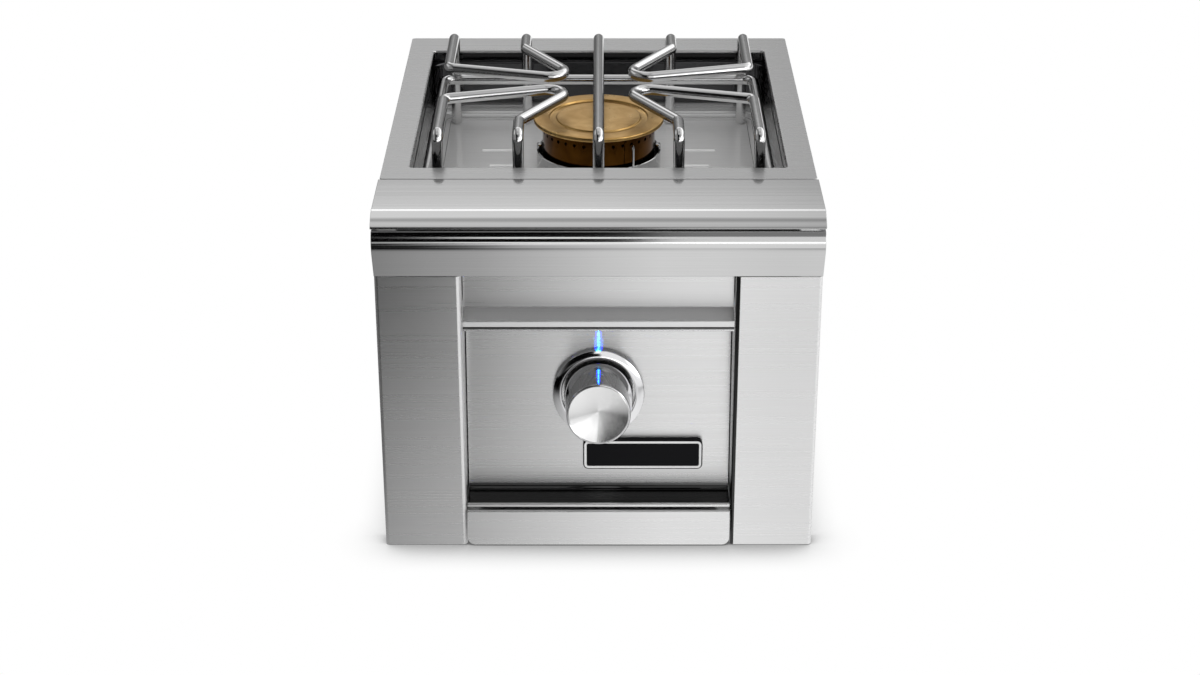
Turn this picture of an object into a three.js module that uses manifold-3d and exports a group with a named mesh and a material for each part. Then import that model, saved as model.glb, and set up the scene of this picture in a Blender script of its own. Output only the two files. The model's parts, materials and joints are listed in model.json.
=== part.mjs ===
// Built-in side burner: one covered brass burner in a stainless front-and-deck housing.
// Millimetres. X runs across, Y from front to back, Z up.
// The faces of the two front pillars lie in the plane Y = 0 and the feet stand on Z = 0.

import * as THREE from 'three';
import { mergeVertices } from 'three/addons/utils/BufferGeometryUtils.js';
import Module from 'manifold-3d';

const wasm = await Module();
wasm.setup();

// Clearances
const fitGap = 0.3;
const runningGap = 0.5;
const overrun = 1;

// Deck
const deckHeight = 296;
const deckDepth = 362.1;
const deckFront = 77.5;
const deckSheet = 1.5;
const deckCornerRadius = 3;
const openingWidth = 308;
const sideStripWidth = 23;
const openingDepth = 299.6;
const frontStripDepth = 26.1;
const openingLipDepth = 9;

// Front trim, which rolls over the front edge
const trimOverhang = 1;
const trimRollStart = 13.5;
const trimRollRadius = 21.6;
const trimRollAngle = 56;
const trimReturn = 8;

// Front rail, the nosed bar under the trim
const railNoseReach = 12.2;
const railNoseDrop = 19.4;
const railNoseRadius = 5;
const railBottomDrop = 51.8;

// Front pillars
const pillarInnerHalf = 109;
const pillarSheet = 1.5;
const pillarBend = 3.6;
const pillarDepth = 46;
const pillarOuterReturn = 16;

// Hood over the control panel
const hoodSheet = 1.2;
const hoodSetback = 19;
const hoodTuck = 18;
const hoodKneeDrop = 86.6;
const hoodLipSetback = 3;
const hoodLipDrop = 92.1;
const hoodLipHeight = 9.2;
const hemThickness = 3;
const hoodSideGap = 0.6;

// Control panel with its ledge
const panelSheet = 1.2;
const panelTilt = 5.35;
const panelTopDrop = 82;
const ledgeSetback = 26.5;
const ledgeHeight = 39.2;
const ledgeOverhang = 0.5;
const ledgeLipHeight = 3.8;
const ledgeBend = 2;
const panelSideGap = 0.8;

// Knob, bezel and valve, on an axis square to the control panel
const bezelHoodShare = 0.57301; // Of the spare height between ledge and hood
const knobReach = 52.8;
const knobFaceRadius = 25.3;
const knobBaseRadius = 28.5;
const knobBaseStandoff = 5.5;
const knobWall = 2.4;
const knobEdge = 1.5;
const knobHubRadius = 8;
const knobTravel = 3;
const bezelOuterRadius = 37.7;
const bezelInnerRadius = 30;
const bezelHeight = 8;
const bezelDish = 2;
const bezelEdge = 1.5;
const stemRadius = 4;
const stemReach = 28;
const stemTail = 26;
const stemFlat = 1;
const stemHoleRadius = 6;
const valveLength = 46;
const valveRadius = 13;
const valveFlangeWidth = 52;
const valveFlangeHeight = 24;
const valveFlangeThickness = 5;
const plugRadius = 9;
const bonnetThickness = 6.4;
const valveEndWall = 8;
const outletRadius = 2;
const inletBossRadius = 8;
const inletBossReach = 24;
const inletBossSetback = 30;
const valveScrewSpacing = 40;
const screwRadius = 1.8;
const screwHeadRadius = 3.5;
const screwHeadHeight = 2;
const screwLength = 7;
const bracketSheet = 1.5;
const bracketWidth = 64;
const bracketHeight = 36;

// Name plate, left blank
const plateWidth = 99;
const plateHeight = 26;
const plateThickness = 6;
const plateCornerRadius = 4;
const plateOffset = 36.7;
const plateLedgeShare = 0.35675; // Of the same spare height

// Gas path behind the valve
const orificeRadius = 4;
const orificeLength = 18;
const orificeHexRadius = 6.5;
const orificeHexLength = 5;
const venturiRadius = 12.5;
const venturiWall = 1.5;
const venturiMouthSetback = 60;
const venturiBend = 45;
const airWindowLength = 12;
const airWindowHeight = 12;
const airWindowSetback = 8;
const shutterWall = 1.5;
const shutterLength = 26;
const pipeRadius = 5;
const pipeWall = 1;
const pipeDrop = 64;
const pipeSideShift = 70;
const pipeBend = 15;
const fittingHexRadius = 12;
const fittingHexLength = 15;
const fittingNippleRadius = 8;
const fittingBoreRadius = 4;
const fittingReach = 15.6;
const locknutLength = 6;

// Burner
const burnerFromFront = 253;
const burnerRadius = 49.5;
const burnerWall = 4.5;
const burnerFloor = 3;
const burnerTopDrop = 14.3;
const capRadius = 57.3;
const capThickness = 4;
const capEdge = 1.5;
const capDiscRadius = 36.5;
const capGrooveRadius = 43.5;
const capGrooveDepth = 2.2;
const capLocatorRadius = 44.5;
const capLocatorWall = 3.5;
const capLocatorDepth = 3;
const portCount = 36;
const portRadius = 1.3;
const portDrop = 5.7;
const cupRadius = 54.7;
const cupWall = 1.5;
const cupHeight = 23.4;
const earWidth = 8;
const earThickness = 4.7;
const earRise = 4.2;

// Spark electrode beside the burner
const electrodeSide = 30;
const electrodeGap = 3.4;
const ceramicRadius = 3;
const ceramicLength = 38;
const ceramicBelowFloor = 17;
const electrodeWireRadius = 1;
const electrodeTopDrop = 20;
const electrodeTipBend = 4;
const electrodeHoleRadius = 3.8;
const electrodeBracketWidth = 16;
const electrodeBracketLength = 30;

// Well pan under the grate
const panDepth = 63.7;
const panSheet = 1.2;
const panInset = 0.5;
const panCornerRadius = 20;
const panFloorRadius = 16;
const panFlange = 5;
const beadHeight = 1.2;
const beadWidth = 5;
const outerBeadReach = 107;
const outerBeadOffset = 56;
const innerBeadReach = 99.4;
const innerBeadOffset = 17;
const beadLength = 32;

// Grate of bent rod
const rodDiameter = 9.5;
const grateRise = 25;
const grateSpan = 265;
const gratePitch = 66.5;
const legBend = 5.5;
const cornerBend = 7;
const tipBend = 13.5;
const loopCornerOffset = 40.5;
const tipVertexSide = 15.3;
const tipVertexOffset = 8.1;
const kneeOffset = 94.8;
const ringDrop = 17.5;

// Casing
const casingSheet = 1.2;
const casingFront = 20;
const casingRearMargin = 12.2;
const baseFlange = 12;
const panLedgeSheet = 1.2;
const ventWidth = 40;
const ventHeight = 6;
const ventPitch = 16;
const ventRows = 5;
const ventHeightFromBase = 130;
const ventSideShift = 65;
const shieldFromFront = 99.4;
const shieldSheet = 1;
const shieldBottom = 32;
const shieldTop = 222;

// Drip tray and its runners
const trayFrontTop = 33;
const trayFrontBottom = 0.6;
const trayFrontProud = 1.5;
const trayFrontSheet = 1.5;
const trayFrontCorner = 6;
const trayGrip = 8;
const trayHalf = 99.5;
const trayDepth = 330;
const trayFloorHeight = 4;
const trayRimHeight = 24;
const traySheet = 1.2;
const trayRim = 4;
const runnerSheet = 1.2;
const runnerLip = 4.4;
const runnerFront = 50;
const runnerLength = 330;

// Ignition and lamp
const moduleWidth = 30;
const moduleDepth = 40;
const moduleHeight = 40;
const moduleFromFront = 56;
const moduleBottom = 150;
const driverHeight = 26;
const wireRadius = 1.5;
const lampPanelGap = 3.87;
const lampRadius = 6;
const lampLength = 11.7;
const lampNeckRadius = 4;
const lampNeckLength = 8;
const lensRadius = 3;
const lensLength = 3.6;
const wireThroughShare = 0.62;

// Facet counts and facet angle
const rodSides = 12;
const turnSides = 40;
const smallSides = 16;
const wireSides = 8;
const bendFacetAngle = 30;

// Worked-out places
const radians = Math.PI / 180;
const deckWidth = openingWidth + sideStripWidth * 2;
const deckRear = deckFront + deckDepth;
const deckUnderside = deckHeight - deckSheet;
const openingFront = deckFront + frontStripDepth;
const openingRear = openingFront + openingDepth;
const openingMiddle = (openingFront + openingRear) / 2;
const rodRadius = rodDiameter / 2;
const panHalfWidth = openingWidth / 2 - panInset;
const panFlangeHalf = panHalfWidth + panSheet + panFlange;
const casingHalf = panFlangeHalf + fitGap * 2;
const casingRear = openingRear + casingRearMargin;
const panFloor = deckHeight - panDepth;
const panFlangeTop = deckHeight - openingLipDepth - deckSheet - fitGap;
const tiltSin = Math.sin(panelTilt * radians);
const tiltCos = Math.cos(panelTilt * radians);
const tiltTan = Math.tan(panelTilt * radians);
const hoodKneeHeight = deckHeight - hoodKneeDrop;
const hoodLipTop = deckHeight - hoodLipDrop;
const hoodLipBottom = hoodLipTop - hoodLipHeight;
const panelTopHeight = deckHeight - panelTopDrop;
const panelSpareHeight = hoodLipBottom - ledgeHeight - bezelOuterRadius * 2 - plateHeight;
const knobHeight = hoodLipBottom - panelSpareHeight * bezelHoodShare - bezelOuterRadius;
const plateCentreHeight = ledgeHeight + panelSpareHeight * plateLedgeShare + plateHeight / 2;
const panelFaceAt = (height) => ledgeSetback + (height - ledgeHeight) * tiltTan;
const knobFromFront = panelFaceAt(knobHeight);
const lampFromFront = panelFaceAt(panelTopHeight) - lampRadius - lampPanelGap;
const pillarTop = deckHeight - railBottomDrop - fitGap;
const burnerTop = deckHeight - burnerTopDrop;
const ledgeFront = -ledgeOverhang;

// Materials
function metal(color, roughness, metalness = 1) {
  return new THREE.MeshStandardMaterial({ color, roughness, metalness });
}

const brushedSteel = metal(0xb9bcbc, 0.38);
const polishedSteel = metal(0xd4d6d8, 0.12);
const panSteel = metal(0xaeb1b1, 0.25);
const casingSteel = metal(0x9a9d9d, 0.5);
const brass = metal(0xb08d57, 0.35);
const ceramic = metal(0xf2efe6, 0.4, 0);
const blackPlastic = metal(0x1c1c1e, 0.55, 0);
const wireJacket = metal(0xb33a22, 0.6, 0);
const lensPlastic = metal(0x2a6dff, 0.1, 0);
const blackEnamel = metal(0x0c0c0d, 0.3, 0);

// A closed geometry with shared corners and its faces pointing out
function closed(geometry) {
  const bare = geometry.index ? geometry : geometry.clone();
  bare.deleteAttribute('normal');
  bare.deleteAttribute('uv');
  const merged = mergeVertices(bare, 1e-4);
  const position = merged.attributes.position;
  const index = Array.from(merged.index.array);
  const kept = [];
  const a = new THREE.Vector3();
  const b = new THREE.Vector3();
  const c = new THREE.Vector3();
  let volume = 0;
  for (let i = 0; i < index.length; i += 3) {
    const [p, q, r] = index.slice(i, i + 3);
    if (p === q || q === r || r === p) continue;
    kept.push(p, q, r);
    a.fromBufferAttribute(position, p);
    b.fromBufferAttribute(position, q);
    c.fromBufferAttribute(position, r);
    volume += a.dot(b.cross(c));
  }
  if (volume < 0) kept.reverse();
  merged.setIndex(kept);
  return merged;
}

function solid(geometry) {
  const clean = closed(geometry);
  const vertProperties = new Float32Array(clean.attributes.position.array);
  const triVerts = new Uint32Array(clean.index.array);
  return new wasm.Manifold(new wasm.Mesh({ numProp: 3, vertProperties, triVerts }));
}

function geometryOf(manifold) {
  const mesh = manifold.getMesh();
  const geometry = new THREE.BufferGeometry();
  geometry.setAttribute('position', new THREE.BufferAttribute(new Float32Array(mesh.vertProperties), 3));
  geometry.setIndex(Array.from(mesh.triVerts));
  return geometry;
}

function join(first, ...others) {
  let whole = solid(first);
  for (const other of others) whole = whole.add(solid(other));
  return geometryOf(whole);
}

function cut(first, ...tools) {
  let whole = solid(first);
  for (const tool of tools) whole = whole.subtract(solid(tool));
  return geometryOf(whole);
}

// A box between two corners
function block(from, to) {
  const size = to.map((value, i) => value - from[i]);
  const middle = to.map((value, i) => (value + from[i]) / 2);
  return new THREE.BoxGeometry(...size).translate(...middle);
}

// A round bar along Z
function bar(radius, from, to, sides = smallSides) {
  const geometry = new THREE.CylinderGeometry(radius, radius, to - from, sides);
  return geometry.rotateX(Math.PI / 2).translate(0, 0, (from + to) / 2);
}

// A six-sided bar along Z, by its radius over the corners
function hexBar(radius, from, to) {
  return bar(radius, from, to, 6);
}

// A solid turned about Z from [radius, height] points
function turned(points, sides = turnSides) {
  const profile = points.map(([radius, height]) => new THREE.Vector2(radius, height));
  return new THREE.LatheGeometry(profile, sides).rotateX(Math.PI / 2);
}

function shapeOf(points) {
  return new THREE.Shape(points.map(([u, v]) => new THREE.Vector2(u, v)));
}

function roundedRectangle(width, height, radius) {
  const u = width / 2 - radius;
  const v = height / 2 - radius;
  const shape = new THREE.Shape();
  shape.moveTo(-u, -v - radius);
  shape.absarc(u, -v, radius, -Math.PI / 2, 0, false);
  shape.absarc(u, v, radius, 0, Math.PI / 2, false);
  shape.absarc(-u, v, radius, Math.PI / 2, Math.PI, false);
  shape.absarc(-u, -v, radius, Math.PI, Math.PI * 1.5, false);
  return shape;
}

function extrudeUp(shape, from, to, curveSegments = 4) {
  const geometry = new THREE.ExtrudeGeometry(shape, { depth: to - from, bevelEnabled: false, curveSegments });
  return geometry.translate(0, 0, from);
}

// A section drawn in Y and Z, drawn out along X about the middle
function extrudeAcross(shape, from, to) {
  const geometry = new THREE.ExtrudeGeometry(shape, { depth: to - from, bevelEnabled: false, curveSegments: 4 });
  const turn = new THREE.Matrix4().makeBasis(
    new THREE.Vector3(0, 1, 0),
    new THREE.Vector3(0, 0, 1),
    new THREE.Vector3(1, 0, 0),
  );
  return geometry.applyMatrix4(turn).translate(from, 0, 0);
}

// A section drawn in X and Z, drawn out along Y
function extrudeBack(shape, from, to) {
  const geometry = new THREE.ExtrudeGeometry(shape, { depth: to - from, bevelEnabled: false, curveSegments: 4 });
  return geometry.rotateX(Math.PI / 2).translate(0, to, 0);
}

// Stations along a polyline whose corners are rounded, each with the normal on its left
function bendStations(points, radii) {
  const stations = [];
  const origin = new THREE.Vector2();
  const left = (direction) => new THREE.Vector2(-direction.y, direction.x);
  const corners = points.map(([u, v]) => new THREE.Vector2(u, v));
  const last = corners.length - 1;
  corners.forEach((corner, i) => {
    const before = i > 0 ? corner.clone().sub(corners[i - 1]).normalize() : null;
    const after = i < last ? corners[i + 1].clone().sub(corner).normalize() : null;
    if (!before || !after) {
      stations.push({ spot: corner, normal: left(before || after) });
      return;
    }
    const turn = Math.atan2(before.cross(after), before.dot(after));
    if (radii[i] === 0) {
      const normal = left(before).add(left(after)).normalize();
      stations.push({ spot: corner, normal: normal.divideScalar(normal.dot(left(before))) });
      return;
    }
    const start = corner.clone().addScaledVector(before, -radii[i] * Math.tan(Math.abs(turn) / 2));
    const centre = start.clone().addScaledVector(left(before), radii[i] * Math.sign(turn));
    const steps = Math.max(2, Math.ceil(Math.abs(turn) / (bendFacetAngle * radians)));
    for (let step = 0; step <= steps; step += 1) {
      const angle = (turn * step) / steps;
      const spot = start.clone().rotateAround(centre, angle);
      stations.push({ spot, normal: left(before).rotateAround(origin, angle) });
    }
  });
  return stations;
}

function bentLine(points, radii) {
  return bendStations(points, radii).map(({ spot }) => [spot.x, spot.y]);
}

// The outline of a bent sheet. The points follow its face, and the metal lies to their left.
function bentSheet(points, radii, thickness) {
  const stations = bendStations(points, radii);
  const face = stations.map(({ spot }) => spot);
  const back = stations.map(({ spot, normal }) => spot.clone().addScaledVector(normal, thickness));
  return new THREE.Shape([...face, ...back.reverse()]);
}

// The centre line of a rod bent at its corners, with stations only where it bends
class BentRod extends THREE.Curve {
  constructor(corners, radii, isRing = false) {
    super();
    this.places = [];
    this.directions = [];
    const count = corners.length;
    corners.forEach((corner, i) => {
      const previous = corners[(i + count - 1) % count];
      const next = corners[(i + 1) % count];
      const before = corner.clone().sub(previous).normalize();
      const after = next.clone().sub(corner).normalize();
      if (!isRing && i === 0) this.station(corner, after);
      else if (!isRing && i === count - 1) this.station(corner, before);
      else this.bend(corner, before, after, radii[i]);
    });
    if (isRing) this.station(this.places[0], this.directions[0]);
  }

  station(place, direction) {
    this.places.push(place.clone());
    this.directions.push(direction.clone());
  }

  bend(corner, before, after, radius) {
    const turn = before.angleTo(after);
    const axis = before.clone().cross(after).normalize();
    const start = corner.clone().addScaledVector(before, -radius * Math.tan(turn / 2));
    const centre = start.clone().addScaledVector(axis.clone().cross(before), radius);
    const steps = Math.max(2, Math.ceil(turn / (bendFacetAngle * radians) - 0.01));
    for (let step = 0; step <= steps; step += 1) {
      const angle = (turn * step) / steps;
      const arm = start.clone().sub(centre).applyAxisAngle(axis, angle);
      this.station(arm.add(centre), before.clone().applyAxisAngle(axis, angle));
    }
  }

  get steps() {
    return this.places.length - 1;
  }

  getPointAt(share, target = new THREE.Vector3()) {
    return target.copy(this.places[Math.round(share * this.steps)]);
  }

  getPoint(share, target) {
    return this.getPointAt(share, target);
  }

  getTangentAt(share, target = new THREE.Vector3()) {
    return target.copy(this.directions[Math.round(share * this.steps)]);
  }

  getSpacedPoints() {
    return this.places.map((place) => place.clone());
  }
}

function circle(radius, sides, hole = 0) {
  const ring = (size) => Array.from({ length: sides }, (_, i) => {
    const angle = ((i + 0.5) / sides) * Math.PI * 2;
    return [size * Math.cos(angle), size * Math.sin(angle)];
  });
  const shape = shapeOf(ring(radius));
  if (hole > 0) shape.holes.push(new THREE.Path(ring(hole).map(([u, v]) => new THREE.Vector2(u, v))));
  return shape;
}

function sweep(path, section) {
  return new THREE.ExtrudeGeometry(section, { steps: path.steps, extrudePath: path });
}

const assembly = new THREE.Group();
const knobAxis = new THREE.Group();
knobAxis.position.set(0, knobFromFront, knobHeight);
knobAxis.rotation.x = Math.PI / 2 - panelTilt * radians;
assembly.add(knobAxis);

function place(name, geometry, material, parent = assembly) {
  const mesh = new THREE.Mesh(closed(geometry), material);
  mesh.name = name;
  parent.add(mesh);
  return mesh;
}

// A point on the knob's axis, given by its distance out from the panel and up along the panel
function onKnobAxis(out, up = 0) {
  return new THREE.Vector3(
    0,
    knobFromFront - out * tiltCos + up * tiltSin,
    knobHeight + out * tiltSin + up * tiltCos,
  );
}

function addDeck() {
  const outline = roundedRectangle(deckWidth, deckDepth, deckCornerRadius);
  const middle = (deckFront + deckRear) / 2;
  const plate = extrudeUp(outline, deckUnderside, deckHeight).translate(0, middle, 0);
  const half = openingWidth / 2;
  const lipHalf = half + deckSheet;
  const lipBottom = deckUnderside - openingLipDepth;
  const lip = block(
    [-lipHalf, openingFront - deckSheet, lipBottom],
    [lipHalf, openingRear + deckSheet, deckUnderside + deckSheet / 2],
  );
  const opening = block(
    [-half, openingFront, lipBottom - overrun],
    [half, openingRear, deckHeight + overrun],
  );
  place('deck_plate', cut(join(plate, lip), opening), brushedSteel);
}

function trimToe() {
  return {
    y: trimRollStart - trimRollRadius * Math.sin(trimRollAngle * radians),
    z: deckHeight - trimRollRadius * (1 - Math.cos(trimRollAngle * radians)),
  };
}

function endPlates(outline, half) {
  return [-half, half - deckSheet].map((x) => extrudeAcross(shapeOf(outline), x, x + deckSheet));
}

function addFrontTrim() {
  const toe = trimToe();
  const rear = deckFront - fitGap;
  const knee = trimRollStart - trimRollRadius * Math.tan((trimRollAngle * radians) / 2);
  const face = [[rear, deckHeight - trimReturn], [rear, deckHeight], [knee, deckHeight], [toe.y, toe.z]];
  const radii = [0, 0, trimRollRadius, 0];
  const half = deckWidth / 2 + trimOverhang;
  const sheet = extrudeAcross(bentSheet(face, radii, deckSheet), -half, half);
  const ends = endPlates([...bentLine(face, radii), [toe.y + trimReturn, toe.z]], half);
  place('front_trim', join(sheet, ...ends), brushedSteel);
}

function addFrontRail() {
  const toe = trimToe();
  const drop = deckSheet * Math.cos(trimRollAngle * radians) + fitGap;
  const top = [toe.y - drop / Math.tan(trimRollAngle * radians), toe.z - drop];
  const nose = [-railNoseReach, deckHeight - railNoseDrop];
  const bottom = deckHeight - railBottomDrop;
  const face = [[casingFront - fitGap, top[1]], top, nose, [0, bottom], [hoodSetback - fitGap, bottom]];
  const radii = [0, 0, railNoseRadius, 0, 0];
  const half = deckWidth / 2;
  const sheet = extrudeAcross(bentSheet(face, radii, deckSheet), -half, half);
  place('front_rail', join(sheet, ...endPlates(bentLine(face, radii), half)), brushedSteel);
}

function addPillars() {
  const outer = deckWidth / 2;
  const face = [
    [casingHalf - fitGap, pillarDepth],
    [pillarInnerHalf, pillarDepth],
    [pillarInnerHalf, 0],
    [outer, 0],
    [outer, pillarOuterReturn],
  ];
  const section = bentSheet(face, [0, pillarBend, pillarBend, pillarBend, 0], pillarSheet);
  const right = extrudeUp(section, 0, pillarTop);
  place('pillar_right', right, brushedSteel);
  place('pillar_left', right.clone().scale(-1, 1, 1), brushedSteel);
}

// A folded edge: a flat bar with a round lower edge, drawn in Y and Z
function hem(front, bottom, top) {
  const radius = hemThickness / 2;
  const shape = new THREE.Shape();
  shape.moveTo(front, top);
  shape.lineTo(front, bottom + radius);
  shape.absarc(front + radius, bottom + radius, radius, Math.PI, Math.PI * 2, false);
  shape.lineTo(front + hemThickness, top);
  return shape;
}

function addHood() {
  const top = deckHeight - railBottomDrop + hoodTuck;
  const face = [
    [hoodSetback, top],
    [hoodSetback, hoodKneeHeight],
    [hoodLipSetback, hoodLipTop],
    [hoodLipSetback, hoodLipBottom + hemThickness / 2],
  ];
  const half = pillarInnerHalf - hoodSideGap;
  const sheet = extrudeAcross(bentSheet(face, [0, 0, 0, 0], hoodSheet), -half, half);
  const edge = extrudeAcross(hem(hoodLipSetback, hoodLipBottom, hoodLipTop), -half, half);
  place('hood', join(sheet, edge), brushedSteel);
}

function valveScrewPlaces() {
  return [-valveScrewSpacing / 2, valveScrewSpacing / 2];
}

function addControlPanel() {
  const half = pillarInnerHalf - panelSideGap;
  const lipBottom = ledgeHeight - ledgeLipHeight;
  const face = [
    [hoodSetback + hoodSheet + fitGap, panelTopHeight],
    [panelFaceAt(panelTopHeight), panelTopHeight],
    [ledgeSetback, ledgeHeight],
    [ledgeFront, ledgeHeight],
    [ledgeFront, lipBottom + hemThickness / 2],
  ];
  const sheet = extrudeAcross(bentSheet(face, [0, 0, 0, ledgeBend, 0], panelSheet), -half, half);
  const edge = extrudeAcross(hem(ledgeFront, lipBottom, ledgeHeight - ledgeBend), -half, half);
  const holes = [bar(stemHoleRadius, -panelSheet - overrun, overrun)];
  for (const x of valveScrewPlaces()) {
    holes.push(bar(screwRadius + fitGap, -panelSheet - overrun, overrun).translate(x, 0, 0));
  }
  knobAxis.updateMatrixWorld(true);
  const placed = holes.map((hole) => hole.applyMatrix4(knobAxis.matrixWorld));
  const neck = bar(lampNeckRadius + runningGap, panelTopHeight - overrun, panelTopHeight + panelSheet + overrun);
  placed.push(neck.translate(0, lampFromFront, 0));
  place('control_panel', cut(join(sheet, edge), ...placed), brushedSteel);
}

function addNamePlate() {
  const up = (plateCentreHeight - knobHeight) / tiltCos;
  const shape = roundedRectangle(plateWidth, plateHeight, plateCornerRadius);
  const plate = extrudeUp(shape, fitGap, plateThickness + fitGap);
  place('name_plate', plate.translate(plateOffset, up, 0), blackEnamel, knobAxis);
}

function addBezel() {
  const top = bezelHeight + fitGap;
  place('bezel', turned([
    [bezelInnerRadius, fitGap],
    [bezelOuterRadius, fitGap],
    [bezelOuterRadius, top - bezelEdge],
    [bezelOuterRadius - bezelEdge, top],
    [bezelInnerRadius + bezelEdge, top - bezelDish],
    [bezelInnerRadius, top - bezelDish - bezelEdge],
    [bezelInnerRadius, fitGap],
  ]), polishedSteel, knobAxis);
}

function addKnob() {
  const cavityTop = knobReach - knobWall * 2;
  const boreTop = stemReach + fitGap;
  place('knob', turned([
    [0, boreTop],
    [stemRadius + fitGap, boreTop],
    [stemRadius + fitGap, knobBaseStandoff],
    [knobHubRadius, knobBaseStandoff],
    [knobHubRadius, cavityTop],
    [knobFaceRadius - knobWall, cavityTop],
    [knobBaseRadius - knobWall, knobBaseStandoff],
    [knobBaseRadius, knobBaseStandoff],
    [knobFaceRadius, knobReach - knobEdge],
    [knobFaceRadius - knobEdge / 2, knobReach - knobEdge / 4],
    [knobFaceRadius - knobEdge, knobReach],
    [0, knobReach],
  ]), polishedSteel, knobAxis);
}

function addValve() {
  const front = -panelSheet - bracketSheet - fitGap * 2;
  const rear = -valveLength;
  const bracketBack = -panelSheet - fitGap - bracketSheet;
  const bracket = block(
    [-bracketWidth / 2, -bracketHeight / 2, bracketBack],
    [bracketWidth / 2, bracketHeight / 2, -panelSheet - fitGap],
  );
  const screwHole = (x, reach) => bar(screwRadius + fitGap, reach, overrun).translate(x, 0, 0);
  const throughBracket = valveScrewPlaces().map((x) => screwHole(x, bracketBack - overrun));
  const stemHole = bar(stemHoleRadius, bracketBack - overrun, overrun);
  place('valve_bracket', cut(bracket, stemHole, ...throughBracket), casingSteel, knobAxis);

  const flange = block(
    [-valveFlangeWidth / 2, -valveFlangeHeight / 2, front - valveFlangeThickness],
    [valveFlangeWidth / 2, valveFlangeHeight / 2, front],
  );
  const barrel = bar(valveRadius, rear, front - valveFlangeThickness / 2, 24);
  const boss = bar(inletBossRadius, 0, inletBossReach).rotateX(Math.PI / 2);
  boss.translate(0, 0, -inletBossSetback);
  const chamber = bar(plugRadius + fitGap, rear + valveEndWall, overrun, 24);
  const outlet = bar(outletRadius, rear - overrun, rear + valveEndWall + overrun, wireSides);
  const inlet = bar(outletRadius, plugRadius - overrun, inletBossReach + overrun, wireSides).rotateX(Math.PI / 2);
  inlet.translate(0, 0, -inletBossSetback);
  const screwBores = valveScrewPlaces().map((x) => screwHole(x, -screwLength - overrun));
  const body = cut(join(flange, barrel, boss), chamber, outlet, inlet, ...screwBores);
  place('valve_body', body, brass, knobAxis);

  const bonnetBack = front - fitGap - bonnetThickness;
  const bonnet = cut(
    bar(plugRadius, bonnetBack, front - fitGap, 24),
    bar(stemRadius + fitGap, bonnetBack - overrun, overrun),
  );
  place('valve_bonnet', bonnet, brass, knobAxis);

  const plugFront = bonnetBack - fitGap;
  const plugBack = rear + valveEndWall + fitGap;
  const plug = cut(
    bar(plugRadius, plugBack, plugFront, 24),
    bar(stemRadius + fitGap, -stemTail - knobTravel - runningGap, overrun),
  );
  place('valve_plug', plug, brass, knobAxis);

  const stem = cut(
    bar(stemRadius, -stemTail, stemReach),
    block([stemRadius - stemFlat, -stemRadius, stemReach / 2], [stemRadius + overrun, stemRadius, stemReach + overrun]),
  );
  place('valve_stem', stem, polishedSteel, knobAxis);

  const sideNames = ['left', 'right'];
  valveScrewPlaces().forEach((x, i) => {
    const head = bar(screwHeadRadius, fitGap, fitGap + screwHeadHeight);
    const shank = bar(screwRadius, -screwLength, fitGap + screwHeadHeight / 2, wireSides);
    place(`valve_screw_${sideNames[i]}`, join(head, shank).translate(x, 0, 0), polishedSteel, knobAxis);
  });
}

function addOrificeAndShutter() {
  const hexBack = -valveLength - fitGap - orificeHexLength;
  const tip = -valveLength - orificeLength;
  const hex = hexBar(orificeHexRadius, hexBack, -valveLength - fitGap);
  const nozzle = bar(orificeRadius, tip, hexBack + overrun);
  const bore = bar(outletRadius / 2, tip - overrun, overrun - valveLength, wireSides);
  place('orifice', cut(join(hex, nozzle), bore), brass, knobAxis);

  const inner = venturiRadius + fitGap;
  const outer = inner + shutterWall;
  const front = -venturiMouthSetback + fitGap + shutterWall;
  const sleeve = bar(outer, front - shutterLength, front, 24);
  const hollow = bar(inner, front - shutterLength - overrun, front - shutterWall, 24);
  const mouth = bar(orificeRadius + runningGap, front - shutterWall - overrun, front + overrun);
  place('air_shutter', cut(sleeve, hollow, mouth, airWindow(outer)), casingSteel, knobAxis);
}

// The pair of air openings, cut straight across the tube
function airWindow(reach) {
  const front = -venturiMouthSetback - airWindowSetback;
  return block(
    [-reach - overrun, -airWindowHeight / 2, front - airWindowLength],
    [reach + overrun, airWindowHeight / 2, front],
  );
}

function venturiPath() {
  const start = onKnobAxis(-venturiMouthSetback);
  const run = (burnerFromFront - knobFromFront) / tiltCos;
  const corner = onKnobAxis(-run);
  const end = new THREE.Vector3(0, burnerFromFront, panFloor + cupWall + fitGap * 2 + burnerFloor / 2);
  return new BentRod([start, corner, end], [0, venturiBend, 0]);
}

function addVenturi() {
  const section = circle(venturiRadius, smallSides, venturiRadius - venturiWall);
  const tube = sweep(venturiPath(), section);
  knobAxis.updateMatrixWorld(true);
  const window = airWindow(venturiRadius).applyMatrix4(knobAxis.matrixWorld);
  place('venturi_tube', cut(tube, window), casingSteel);
}

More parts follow.
